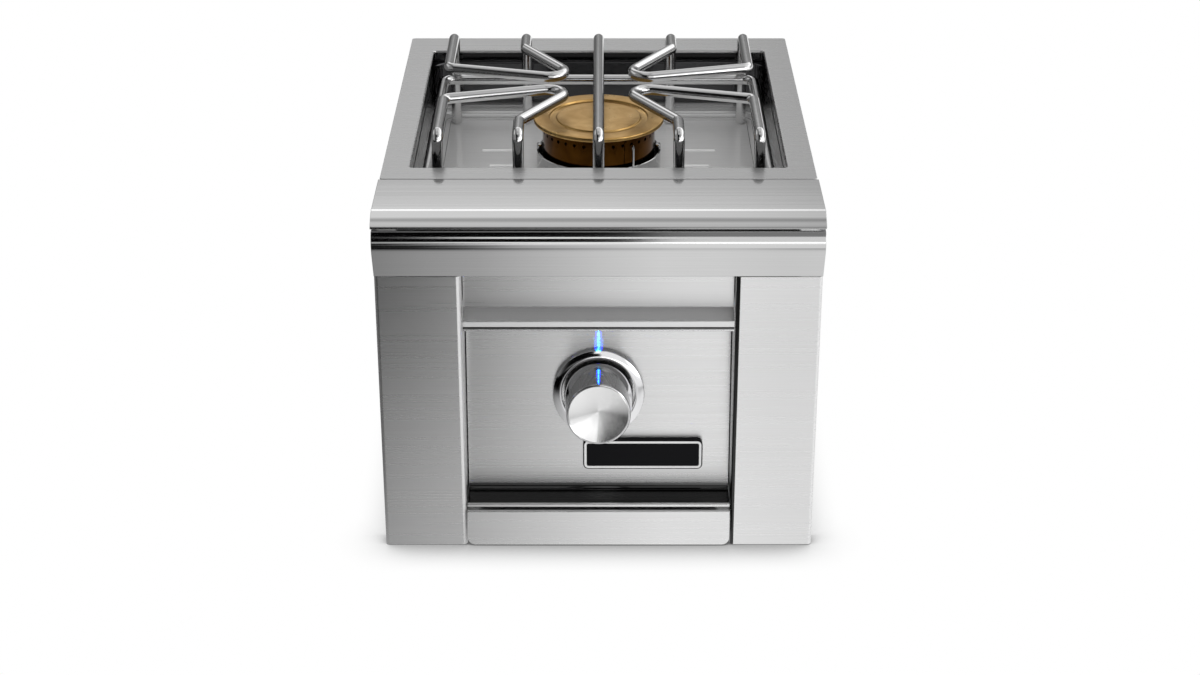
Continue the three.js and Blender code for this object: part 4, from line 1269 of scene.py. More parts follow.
@dataclass(frozen=True)
class ControlPanel:
    """The tilted panel, folded forward into the ledge, and its blank plate."""

    half: float = 108.2
    front_flange: float = 20.5
    top: float = 214.0
    axis: KnobAxis = KnobAxis()
    ledge_front: float = -0.5
    hem_centre: float = 36.9
    hem: float = 3.0
    sheet: float = 1.2
    stem_hole: float = 6.0
    foot_bend: float = 5.0
    plate: Pair = (99.0, 26.0)
    plate_corner: float = 4.5
    plate_place: Pair = (36.7, 71.5)
    plate_front: float = 6.3
    border: Pair = (1.0, 2.9)

    def build(self, shop: Workshop) -> None:
        """Makes the panel and the plate.

        Args:
            shop: The workshop.
        """
        setback, ledge = self.axis.ledge_setback, self.axis.ledge_height
        panel_top = setback + (self.top - ledge) * math.tan(math.radians(self.axis.tilt))
        line = [(self.front_flange, self.top), (panel_top, self.top), (setback, ledge),
                (self.ledge_front, ledge), (self.ledge_front, self.hem_centre)]
        edge = self.ledge_front + self.hem
        face, back = hemmed(bend(line, [0.0, 1.0, self.foot_bend, 2.0, 0.0]), self.sheet, edge)
        radius = self.hem / 2
        fold = half_round((self.ledge_front + radius, self.hem_centre), radius, 180, 360)
        outline = face + fold + [(edge, ledge - self.sheet)] + back
        panel = shop.drawn("panel_sheet", [(outline, -self.half, self.half)], "yzx", BRUSHED,
                           edge=0.2, replaces=("control_panel",))
        shop.carve(panel, *shop.drill(self.axis.matrix(), self.stem_hole, (-5.0, 5.0), 32))
        # The ledge gets a near-black skin: a painted dark reflection.
        spots = bend(line[1:4], [0.0, self.foot_bend, 0.0])[1:]
        spots[-1] = (Vector((self.ledge_front + 1.8, ledge)), spots[-1][1])
        shop.skin("ledge_reflection_skin", spots, self.half, LEDGE_PAINTED_REFLECTION)
        self.build_plate(shop)

    def build_plate(self, shop: Workshop) -> None:
        """Makes the black plate and the light line inside its edge.

        Args:
            shop: The workshop.
        """
        matrix = self.axis.matrix()
        up = (self.plate_place[1] - self.axis.height) / math.cos(math.radians(self.axis.tilt))
        x = (self.plate_place[0] - self.plate[0] / 2, self.plate_place[0] + self.plate[0] / 2)
        y = (up - self.plate[1] / 2, up + self.plate[1] / 2)

        def loop(inset: float, z: float) -> list[Triple]:
            """A loop inside the plate's outline, on the tilted panel."""
            place = moved_loop(x, y, self.plate_corner, -inset, z)
            return [tuple(matrix @ Vector(p)) for p in place]

        front = self.plate_front
        body = shop.rings([loop(0.0, 0.3), loop(0.0, front - 0.7), loop(0.2, front - 0.3),
                           loop(0.7, front - 0.1)])
        shop.piece("blank_plate", *body, PLATE_BLACK, replaces=("name_plate",))
        outer, inner = self.border
        line = [loop(outer, front - 0.2), loop(outer, front), loop(inner, front),
                loop(inner, front - 0.2)]
        shop.piece("plate_border", *shop.rings(line, closed=True), PLATE_LINE)


@dataclass(frozen=True)
class Knob:
    """The tapered knob with its turned face, and the dished bezel round it."""

    axis: KnobAxis = KnobAxis()
    base_radius: float = 28.5
    face_radius: float = 25.9
    base: float = 5.5
    face: float = 52.8
    dish: float = 7.0
    wall: float = 2.4
    hub: float = 8.0
    bore: float = 4.3
    bore_depth: float = 28.3
    bezel_outer: float = 37.7
    bezel_inner: float = 30.0
    bezel_top: float = 8.3

    def build(self, shop: Workshop) -> None:
        """Makes the knob, its face and the bezel.

        Args:
            shop: The workshop.
        """
        matrix = self.axis.matrix()
        base, face, rim = self.base, self.face, self.face_radius
        inner_face = face - self.dish - self.wall
        shell = [(0.0, self.bore_depth), (self.bore, self.bore_depth), (self.bore, base),
                 (self.hub, base), (self.hub, inner_face), (rim - self.wall, inner_face),
                 (self.base_radius - self.wall, base), (self.base_radius - 0.5, base),
                 (self.base_radius, base + 0.6), (rim + 0.1, face - 1.6), (rim - 0.1, face - 0.8),
                 (rim - 0.6, face - 0.25), (rim - 1.2, face - 0.1), (rim - 1.6, face - 0.35),
                 (rim - 1.6, face - 0.35 - self.dish), (0.0, face - 0.35 - self.dish)]
        shop.turned("knob_shell", shell, matrix, POLISHED, Body.KNOB, replaces=("knob",))
        disc = [(0.0, face - 0.3 - self.dish), (rim - 1.7, face - 0.3 - self.dish),
                (rim - 1.7, face - 0.1), (rim - 1.9, face), (0.0, face - self.dish)]
        shop.turned("knob_face", disc, matrix, TURNED, Body.KNOB)
        outer, inner, top = self.bezel_outer, self.bezel_inner, self.bezel_top
        ring = [(inner, 0.3), (outer, 0.3), (outer, top - 2.6), (outer - 0.15, top - 2.0),
                (outer - 0.5, top - 1.5)]
        ring += [(outer - 0.5 - 5.9 * k / 8, top - 1.5 * ((8 - k) / 8) ** 1.7) for k in range(1, 9)]
        ring += [(inner + 0.6, top - 0.2), (inner + 0.2, top - 0.6), (inner, top - 1.2)]
        shop.turned("bezel_ring", ring, matrix, POLISHED, sharp=20.0, replaces=("bezel",))


@dataclass(frozen=True)
class Burner:
    """The brass cap, ported bowl and steel cup in the middle of the well."""

    centre: float = 253.0
    pan_floor: float = 232.3
    top: float = 281.7
    radius: float = 49.5
    wall: float = 4.5
    throat: float = 13.1
    ports: int = 36
    port_radius: float = 1.5
    port_drop: float = 7.0
    cap_radius: float = 57.3
    cap_top: float = 286.0
    disc: float = 36.5
    groove: float = 43.5
    groove_depth: float = 2.2
    cup_outer: float = 54.7
    cup_wall: float = 1.5
    cup_height: float = 23.4
    gap: float = 0.3
    spigot: Pair = (41.0, 44.5)
    spigot_drop: float = 3.0
    ear: Pair = (4.7, 8.0)
    ear_corner: float = 1.6
    ear_rises: tuple[Pair, ...] = ((0.0, 3.2), (0.5, 3.9), (1.3, 4.2))

    def build(self, shop: Workshop) -> None:
        """Makes the cap, the bowl and the cup.

        Args:
            shop: The workshop.
        """
        matrix = Matrix.Translation((0.0, self.centre, 0.0))
        self.build_cap(shop, matrix)
        bottom = self.pan_floor + self.gap
        self.build_bowl(shop, matrix, bottom + self.cup_wall + self.gap)
        self.build_cup(shop, matrix, bottom)

    def build_cap(self, shop: Workshop, matrix: Matrix) -> None:
        """Makes the brass cap.

        Args:
            shop: The workshop.
            matrix: Places the burner's axis.
        """
        edge, under, top = self.cap_radius, self.top + self.gap, self.cap_top
        groove, disc, low = self.groove, self.disc, top - self.groove_depth
        (near, far), drop = self.spigot, under - self.spigot_drop
        cap = [(0.0, under), (near, under), (near, drop), (far, drop), (far, under),
               (edge - 1.2, under), (edge - 0.3, under + 0.5), (edge, under + 1.2),
               (edge, top - 1.4), (edge - 0.4, top - 0.5), (edge - 1.3, top), (groove + 0.6, top),
               (groove + 0.1, top - 0.3), (groove - 0.5, low + 0.4), (groove - 1.4, low),
               (disc + 1.6, low), (disc + 0.7, low + 0.4), (disc + 0.1, top - 0.7),
               (disc - 0.6, top - 0.4), (0.0, top - 0.4)]
        shop.turned("grooved_cap", cap, matrix, CAP_BRASS, Body.CAP, replaces=("burner_cap",))

    def build_bowl(self, shop: Workshop, matrix: Matrix, floor: float) -> None:
        """Makes the bowl with its ports.

        Args:
            shop: The workshop.
            matrix: Places the burner's axis.
            floor: Height of the bowl's underside.
        """
        inner, outer, rim = self.radius - self.wall, self.radius, self.top
        bowl = [(self.throat, floor), (outer - 0.6, floor), (outer, floor + 0.6),
                (outer, rim - 0.4), (outer - 0.4, rim), (inner, rim), (inner, floor + 3.0),
                (self.throat, floor + 3.0)]
        # The bowl's near-black brass is painted shade.
        skirt = shop.turned("ported_bowl", bowl, matrix, SKIRT_PAINTED_SHADE, segments=144,
                            replaces=("burner_body",))
        shop.carve(skirt, *self.port_drills(shop))

    def build_cup(self, shop: Workshop, matrix: Matrix, bottom: float) -> None:
        """Makes the steel cup and its ears.

        Args:
            shop: The workshop.
            matrix: Places the burner's axis.
            bottom: Height of the cup's underside.
        """
        outer, rim = self.cup_outer, bottom + self.cup_height
        inner = outer - self.cup_wall
        cup = [(self.throat, bottom), (outer - 1.5, bottom), (outer, bottom + 1.5),
               (outer, rim - 0.4), (outer - 0.4, rim), (inner + 0.4, rim), (inner, rim - 0.4),
               (inner, bottom + self.cup_wall), (self.throat, bottom + self.cup_wall)]
        shop.turned("steel_cup", cup, matrix, CUP_STEEL, replaces=("burner_cup",))
        ears = []
        for side in SIDES.values():
            x = tuple(sorted((side * outer, side * (outer - self.ear[0]))))
            y = (self.centre - self.ear[1] / 2, self.centre + self.ear[1] / 2)
            levels = [(0.0, bottom + 6.0), *((inset, rim + rise) for inset, rise in self.ear_rises)]
            loops = [moved_loop(x, y, self.ear_corner, -inset, z, 4) for inset, z in levels]
            ears.append(shop.rings(loops))
        shop.piece("cup_ears", *merged(ears), CUP_STEEL)

    def port_drills(self, shop: Workshop) -> Shape:
        """Drills for the row of ports.

        Args:
            shop: The workshop.

        Returns:
            Their corners and faces.
        """
        height = Matrix.Translation((0.0, self.centre, self.top - self.port_drop))
        outward = Matrix.Rotation(math.radians(90.0), 4, "Y")
        ends = (self.radius - self.wall - 2.0, self.radius + 2.0)
        drills = []
        for i in range(self.ports):
            around = Matrix.Rotation(math.radians(360.0 * (i + 0.5) / self.ports), 4, "Z")
            drills.append(shop.drill(height @ around @ outward, self.port_radius, ends, 12))
        return merged(drills)


@dataclass(frozen=True)
class WellPan:
    """The deep pan with its filleted floor and pressed beads."""

    half: float = 153.5
    y: Pair = (104.1, 402.7)
    floor: float = 232.3
    fillet: float = 16.0
    corner: float = 20.0
    sheet: float = 1.2
    flange: float = 5.0
    flange_top: float = 285.2
    flange_roll: float = 2.0
    centre: float = 253.0
    hole: float = 13.1
    bead_length: float = 32.0
    bead_width: float = 5.0
    bead_height: float = 1.2
    bead_sink: float = 0.15
    bead_angles: tuple[float, ...] = (0.0, 20.0, 40.0, 60.0, 78.0)
    bead_reaches: tuple[Pair, ...] = ((107.0, 56.0), (99.4, 17.0))

    def rings(self, spots: list[Pair]) -> list[list[Triple]]:
        """Loops of the pan's inner outline, each moved out by a distance, at a height."""
        across = (-self.half, self.half)
        return [moved_loop(across, self.y, self.corner, out, z) for out, z in spots]

    def build(self, shop: Workshop) -> None:
        """Makes the pan and its beads.

        Args:
            shop: The workshop.
        """
        centre = (-self.fillet, self.floor + self.fillet)
        roll, out, under = self.flange_roll, self.sheet + self.flange, self.flange_top - self.sheet
        spots = half_round(centre, self.fillet + self.sheet, -90, 0, 10)
        spots += [(self.sheet, under), (out, under), (out, self.flange_top)]
        spots += half_round((roll, self.flange_top - roll), roll, 90, 180, 5)
        spots += half_round(centre, self.fillet, 0, -90, 10)
        # The pan's near-black steel is painted shade.
        pan = shop.piece("drawn_pan", *shop.rings(self.rings(spots)), PAN_PAINTED_SHADE,
                         replaces=("well_pan",))
        middle = Matrix.Translation((0.0, self.centre, 0.0))
        shop.carve(pan, *shop.drill(middle, self.hole, (self.floor - 5.0, self.floor + 5.0), 32))
        # The floor and fillet get a light skin: painted light, darkening into painted shade up the
        # fillet.
        skin = half_round(centre, self.fillet - SKIN_LIFT, -90, 0, 16)
        skin += half_round(centre, self.fillet + SKIN_DEPTH, 0, -90, 16)
        shop.piece("pan_floor", *shop.rings(self.rings(skin)), PAN_FLOOR_PAINTED_LIGHT)
        beads = []
        for side in SIDES.values():
            for reach, offset in self.bead_reaches:
                for along in (-1.0, 1.0):
                    beads.append(self.bead(shop, side, reach, self.centre + along * offset))
        shop.piece("pressed_beads", *merged(beads), PAN_FLOOR_PAINTED_LIGHT, sharp=60.0)

    def bead(self, shop: Workshop, side: float, reach: float, y: float) -> Shape:
        """One pressed bead.

        Args:
            shop: The workshop.
            side: -1 on the left, 1 on the right.
            reach: Distance of the bead's outer end from the middle.
            y: Place of the bead from front to back.

        Returns:
            Its corners and faces.
        """
        x = tuple(sorted((side * reach, side * (reach - self.bead_length))))
        half = self.bead_width / 2
        loops = []
        for angle in self.bead_angles:
            inset = half * (1 - math.cos(math.radians(angle)))
            rise = (self.bead_height + 0.1) * math.sin(math.radians(angle))
            z = self.floor - self.bead_sink + rise
            loops.append(moved_loop(x, (y - half, y + half), half, -inset, z, 6))
        return shop.rings(loops)


@dataclass(frozen=True)
class Grate:
    """The welded grate of bent rod."""

    radius: float = 4.72
    top: float = 316.1
    foot: float = 232.6
    centre: float = 253.0
    leg: float = 127.75
    pitch: float = 66.5
    leg_bend: float = 5.5
    corner_bend: float = 7.0
    tip_bend: float = 13.5
    corner: float = 40.5
    tip: Pair = (15.3, 8.1)
    knee: float = 94.8
    weld_pitch: float = 9.8
    ring_height: float = 278.5
    sides: int = 28
    end_round: float = 0.7
    bend_facet: float = 6.0
    weld_offset: float = 2.3
    weld_reach: float = 4.0
    weld_end: float = 4.2
    weld_taper: float = 4.4
    weld_radius: float = 2.0
    weld_ripple: float = 0.22
    weld_steps: int = 12

    def path(self, corners: list[Vector], radii: list[float],
             closed: bool = False) -> list[Station]:
        """Stations of a bent rod.

        Args:
            corners: Corners of its centre line.
            radii: Bend radius at each corner.
            closed: The rod is a ring.

        Returns:
            Pairs of a place and a direction.
        """
        stations: list[Station] = []
        count = len(corners)
        for i, corner in enumerate(corners):
            before = (corner - corners[i - 1]).normalized()
            after = (corners[(i + 1) % count] - corner).normalized()
            if not closed and i in (0, count - 1):
                stations.append((corner, after if i == 0 else before))
                continue
            turn = before.angle(after)
            axis = before.cross(after).normalized()
            start = corner - before * radii[i] * math.tan(turn / 2)
            middle = start + axis.cross(before) * radii[i]
            steps = max(4, math.ceil(math.degrees(turn) / self.bend_facet))
            for step in range(steps + 1):
                spin = Matrix.Rotation(turn * step / steps, 3, axis)
                stations.append((middle + spin @ (start - middle), spin @ before))
        return stations

    def rod(self, shop: Workshop, name: str, corners: list[Triple], radii: list[float], node: str,
            closed: bool = False) -> None:
        """Makes one rod.

        Args:
            shop: The workshop.
            name: The piece's name.
            corners: Corners of its centre line.
            radii: Bend radius at each corner.
            node: The CAD node that it stands for.
            closed: The rod is a ring.
        """
        stations = self.path([Vector(c) for c in corners], radii, closed)
        if not closed:
            first, last = stations[0], stations[-1]
            stations = [first, (first[0] + first[1] * self.end_round, first[1])] + stations[1:-1]
            stations += [(last[0] - last[1] * self.end_round, last[1]), last]
        across = stations[0][1].orthogonal().normalized()
        if closed:
            across = Vector((0.0, 0.0, 1.0))
        loops: list[list[Triple]] = []
        uvs: list[Pair] = []
        run = 0.0
        previous = stations[0]
        for k, (spot, direction) in enumerate(stations):
            if k:
                across = previous[1].rotation_difference(direction) @ across
                run += (spot - previous[0]).length
            across = (across - direction * across.dot(direction)).normalized()
            side = direction.cross(across)
            at_end = not closed and k in (0, len(stations) - 1)
            radius = self.radius - (self.end_round if at_end else 0.0)
            loop = []
            for i in range(self.sides):
                angle = 2 * math.pi * i / self.sides
                raised = spot + across * radius * math.cos(angle)
                loop.append(tuple(raised + side * radius * math.sin(angle)))
                uvs.append((radius * angle, run))
            loops.append(loop)
            previous = (spot, direction)
        verts, faces = shop.rings(loops, closed=closed)
        shop.piece(name, verts, faces, ROD_POLISH, Body.GRATE, uvs, sharp=40.0, replaces=(node,))

    def build(self, shop: Workshop) -> None:
        """Makes the ring, the centre rod, the loops and the welds.

        Args:
            shop: The workshop.
        """
        outer = self.pitch * 2

        def at(x: float, y: float, z: float) -> Triple:
            """A point measured from the grate's middle."""
            return (x, self.centre + y, z)

        line = ((-self.leg, self.foot), (-self.leg, self.top), (self.leg, self.top),
                (self.leg, self.foot))
        corners = [at(0.0, y, z) for y, z in line]
        self.rod(shop, "centre_rod", corners, [0, self.leg_bend, self.leg_bend, 0],
                 "grate_centre_rod")
        for end, along in (("front", -1.0), ("rear", 1.0)):
            for hand, side in SIDES.items():
                line = [(outer, self.leg, self.foot), (outer, self.leg, self.top),
                        (outer, self.corner, self.top), (*self.tip, self.top),
                        (self.pitch, self.knee, self.top), (self.pitch, self.leg, self.top),
                        (self.pitch, self.leg, self.foot)]
                corners = [at(side * x, along * y, z) for x, y, z in line]
                radii = [0, self.leg_bend, self.corner_bend, self.tip_bend, self.corner_bend,
                         self.leg_bend, 0]
                self.rod(shop, f"{end}_{hand}_loop", corners, radii, f"grate_loop_{end}_{hand}")
        half = outer + self.weld_pitch
        front, rear = -self.leg - self.weld_pitch, self.leg - self.weld_pitch
        line = ((-half, front), (half, front), (half, rear), (-half, rear))
        corners = [at(x, y, self.ring_height) for x, y in line]
        self.rod(shop, "lower_ring", corners, [self.weld_pitch] * 4, "grate_ring", closed=True)
        self.build_welds(shop)

    def build_welds(self, shop: Workshop) -> None:
        """Makes the rippled weld beads where the legs meet the ring.

        Args:
            shop: The workshop.
        """
        beads = []
        for along in (-1.0, 1.0):
            y = self.centre + along * self.leg - self.weld_pitch / 2
            for step in (-2, -1, 0, 1, 2):
                for side in SIDES.values():
                    place = (step * self.pitch + side * self.weld_offset, y, self.ring_height)
                    beads.append(shop.lathe(self.ripple(), Matrix.Translation(place), 14)[:2])
        shop.piece("weld_beads", *merged(beads), ROD_POLISH, Body.GRATE, sharp=80.0)

    def ripple(self) -> list[Pair]:
        """Profile of a short rippled bead.

        Returns:
            Points of (radius, height).
        """
        profile = [(0.0, -self.weld_end)]
        for i in range(self.weld_steps + 1):
            z = -self.weld_reach + 2 * self.weld_reach * i / self.weld_steps
            body = self.weld_radius * math.sqrt(1 - (z / self.weld_taper) ** 2)
            profile.append((body + (self.weld_ripple if i % 2 else 0.0), z))
        return profile + [(0.0, self.weld_end)]


@dataclass(frozen=True)
class DripTray:
    """The tray with its folded front."""

    half: float = 108.4
    top: float = 33.0
    bottom: float = 0.6
    front: float = -1.5
    sheet: float = 1.5
    corner: float = 6.0
    grip: float = 8.0
    basin_half: float = 99.5
    basin: Pair = (0.0, 330.0)
    floor: float = 4.0
    rim: float = 24.0
    rim_width: float = 4.0
    wall: float = 1.2
    rim_start: float = 50.0
    basin_corner: float = 4.0
    rim_drop: float = 3.0

    def build(self, shop: Workshop) -> None:
        """Makes the tray.

        Args:
            shop: The workshop.
        """
        line = [(self.grip, self.top), (self.front, self.top), (self.front, self.bottom)]
        outline = sheet_outline(line, [0.0, 2.0, 0.0], self.sheet)
        front = shop.drawn("tray_front", [(outline, -self.half, self.half)], "yzx", BRUSHED,
                           body=Body.TRAY, edge=0.25)
        corner = self.half - self.corner
        low = self.bottom + self.corner
        keep = [(self.half, self.top + 5), (-self.half, self.top + 5)]
        for x, start in ((-corner, 180), (corner, 270)):
            keep += half_round((x, low), self.corner, start, start + 90, 8)
        shop.carve(front, *shop.prism([(keep, -10.0, 20.0)], "xzy"), "INTERSECT")
        across, wall, rim, floor = self.basin_half, self.wall, self.rim, self.floor
        spots = [(1.0, floor), (0.3, floor + 0.3), (0.0, floor + 1.0), (0.0, rim), (wall, rim),
                 (wall, floor + 2.0), (wall + 0.5, floor + wall + 0.2), (wall + 1.2, floor + wall)]
        outline = ((-across, across), self.basin, self.basin_corner)
        loops = [moved_loop(*outline, -inset, z, 5) for inset, z in spots]
        shop.piece("tray_basin", *shop.rings(loops), BRUSHED, Body.TRAY, replaces=("drip_tray",))
        rims = []
        for side in SIDES.values():
            line = [(side * across, rim - self.rim_drop), (side * across, rim),
                    (side * (across + self.rim_width), rim)]
            outline = sheet_outline(line, [0.0, 0.8, 0.0], -side * wall)
            rims.append((outline, self.rim_start, self.basin[1]))
        shop.drawn("tray_rims", rims, "xzy", BRUSHED, body=Body.TRAY)


@dataclass(frozen=True)
class Lamp:
    """The small blue lamp under the hood that lights the knob."""

    y: float = 33.0
    top: float = 201.7
    radius: float = 3.0
    length: float = 3.6
    tone: Triple = (0.04, 0.5, 1.0)
    halo: Triple = (0.0, 0.02, 1.0)
    fan: tuple[float, ...] = (12.0, 14.5, 17.0, 20.0, 23.0, 27.0, 31.0, 36.0)
    fan_power: float = 2.6
    fan_spread: float = 0.19
    offset: float = 10.0
    panel_lean: float = 5.35
    farthest: float = 33.0
    knob_beam: Triple = (6.0, 12.0, 2.0)
    halo_spread: float = 13.0
    halo_share: float = 0.35
    source_shift: Pair = (3.0, 1.0)
    narrowest: float = 3.0
    source_size: float = 0.0006

    def build(self, shop: Workshop) -> None:
        """Makes the lens and its light.

        Args:
            shop: The workshop.
        """
        profile = [(0.0, self.top), (self.radius, self.top)]
        for angle in range(0, 91, 10):
            turn = math.radians(angle)
            drop = self.length * (0.25 + 0.75 * math.sin(turn))
            profile.append((self.radius * math.cos(turn), self.top - drop))
        profile[-1] = (0.0, self.top - self.length)
        place = Matrix.Translation((0.0, self.y, 0.0))
        shop.turned("lamp_dome", profile, place, BLUE_LENS, segments=48, replaces=("lamp_lens",))
        for index, lean in enumerate(self.fan):
            turn = math.radians(lean)
            back = math.cos(turn) * math.tan(math.radians(self.panel_lean))
            reach = self.offset / (math.sin(turn) + back)
            beam = (lean, max(self.narrowest, self.fan_spread * lean),
                    self.fan_power * (reach / self.farthest) ** 2)
            halo = (lean, self.halo_spread, beam[2] * self.halo_share)
            self.build_beam(shop, f"panel_beam_{index}", beam, self.tone)
            self.build_beam(shop, f"halo_beam_{index}", halo, self.halo)
        self.build_beam(shop, "knob_beam", self.knob_beam, self.tone)

    def build_beam(self, shop: Workshop, name: str, beam: Triple, tone: Triple) -> None:
        """Makes a narrow cone of the lamp's light.

        Args:
            shop: The workshop.
            name: The light's name.
            beam: Its lean towards the panel and its spread, in degrees, and its power in watts.
            tone: Its colour.
        """
        lean, spread, power = beam
        light = bpy.data.lights.new(name, "SPOT")
        light.energy = power
        light.color = tone
        light.spot_size = math.radians(spread)
        light.spot_blend = 1.0
        light.shadow_soft_size = self.source_size
        holder = bpy.data.objects.new(name, light)
        place = (0.0, self.y - self.source_shift[0], self.top - self.length - self.source_shift[1])
        holder.location = shop.to_row @ Vector(place)
        holder.rotation_euler = (math.radians(lean), 0.0, 0.0)
        bpy.context.scene.collection.objects.link(holder)


@dataclass(frozen=True)
class CasingScrews:
    """Pan-head screws that hold the casing's sheets to the flanges behind them."""

    side: float = 161.5
    rear: float = 415.4
    head: float = 3.9
    rise: float = 2.1
    recess: Triple = (2.3, 0.55, 1.2)
    turned_on: float = 37.0
    side_places: tuple[Pair, ...] = ((58.0, 24.0), (58.0, 130.0), (58.0, 236.0), (225.0, 7.0),
                                     (404.0, 24.0), (404.0, 150.0), (404.0, 272.0))
    rear_places: tuple[Pair, ...] = ((-150.0, 24.0), (-150.0, 150.0), (-150.0, 272.0), (0.0, 7.0),
                                     (150.0, 24.0), (150.0, 150.0), (150.0, 272.0))

    def build(self, shop: Workshop) -> None:
        """Makes the screws.

        Args:
            shop: The workshop.
        """
        turn = Matrix.Rotation(math.radians(-90.0), 4, "X")
        places = [Matrix.Translation((x, self.rear, z)) @ turn for x, z in self.rear_places]
        for side in SIDES.values():
            turn = Matrix.Rotation(math.radians(90.0 * side), 4, "Y")
            places += [Matrix.Translation((side * self.side, y, z)) @ turn
                       for y, z in self.side_places]
        head, rise = self.head, self.rise
        profile = [(0.0, rise), (0.45 * head, rise - 0.06), (0.75 * head, rise - 0.35),
                   (0.93 * head, rise - 0.9), (head, rise - 1.4), (head, 0.02), (0.0, 0.02)]
        heads, cuts = [], []
        reach, half, depth = self.recess
        for index, place in enumerate(places):
            heads.append(shop.lathe(profile, place, 32)[:2])
            spin = place @ Matrix.Rotation(math.radians(self.turned_on * index), 4, "Z")
            for a, b in ((reach, half), (half, reach)):
                slot = [(-a, -b), (a, -b), (a, b), (-a, b)]
                verts, faces = shop.prism([(slot, rise - depth, rise + 1.0)], "xyz")
                cuts.append(([spin @ v for v in verts], faces))
        screws = shop.piece("casing_screws", *merged(heads), ZINC)
        for bars in (cuts[::2], cuts[1::2]):
            shop.carve(screws, *merged(bars))


@dataclass(frozen=True)
class HiddenNodes:
    """Finishes of the CAD nodes that show as they are."""

    by_slot: tuple[tuple[str, Finish], ...] = (
        ("casing_steel", CASING),
        ("brass_satin", CAP_BRASS),
        ("polished_steel", POLISHED),
        ("pan_steel", PAN_PAINTED_SHADE),
        ("brushed_steel", CASING),
        ("ceramic", CERAMIC),
        ("black_plastic", BLACK_PLASTIC),
        ("wire_jacket", WIRE_JACKET),
        ("blue_lens", BLUE_LENS),
        ("plate_black", PLATE_BLACK),
    )

    def dress(self, frame: dict, shop: Workshop) -> None:
        """Gives each CAD node the material of its slot.

        Args:
            frame: The loaded frame.
            shop: The workshop.
        """
        slots = {s["node"]: s["material_slot"] for s in frame["record"]["subparts"]}
        finishes = dict(self.by_slot)
        for name, node in frame["nodes"].items():
            node.data.materials.clear()
            node.data.materials.append(shop.paints.of(finishes[slots[name]]))
        LOG.info("dressed %d nodes", len(frame["nodes"]))


class Tones(Graph):
    """Node graphs of the studio's brightness."""

    def curve(self, value: Socket, low: float, high: float, stops: list[Pair]) -> Socket:
        """A brightness that follows stops.

        Args:
            value: The input.
            low: Input at the start of the curve.
            high: Input at its end.
            stops: Pairs of input and brightness.

        Returns:
            The brightness socket.
        """
        ramp = self.node("ShaderNodeValToRGB")
        elements = ramp.color_ramp.elements
        while len(elements) < len(stops):
            elements.new(0.5)
        for element, (place, tone) in zip(elements, stops):
            element.position = (place - low) / (high - low)
            element.color = (tone, tone, tone, 1.0)
        self.link(self.mapped(value, (low, high)), ramp.inputs["Fac"])
        return ramp.outputs["Color"]

    def math(self, operation: str, a: Socket | float, b: Socket | float) -> Socket:
        """Reckons with two inputs.

        Args:
            operation: What is done, as Blender names it.
            a: The first input.
            b: The second input.

        Returns:
            The result.
        """
        node = self.node("ShaderNodeMath")
        node.operation = operation
        self.feed(a, node.inputs[0])
        self.feed(b, node.inputs[1])
        return node.outputs["Value"]

    def times(self, a: Socket | float, b: Socket | float) -> Socket:
        """Multiplies two inputs."""
        return self.math("MULTIPLY", a, b)

    def plus(self, a: Socket | float, b: Socket | float) -> Socket:
        """Adds two inputs."""
        return self.math("ADD", a, b)

    def mirrored_twice(self, path: bpy.types.Node) -> Socket:
        """1 for light seen in a mirror within a mirror, otherwise 0."""
        return self.math("GREATER_THAN", path.outputs["Glossy Depth"], 1.5)

    def mix(self, share: Socket, a: Socket | float, b: Socket | float) -> Socket:
        """Between two values by a share.

        Args:
            share: 0 gives the first value and 1 the second.
            a: The first value.
            b: The second value.

        Returns:
            The mixed value.
        """
        node = self.node("ShaderNodeMix")
        node.data_type = "FLOAT"
        for value, target in zip((share, a, b), (node.inputs[0], *node.inputs[2:4])):
            self.feed(value, target)
        return node.outputs[0]


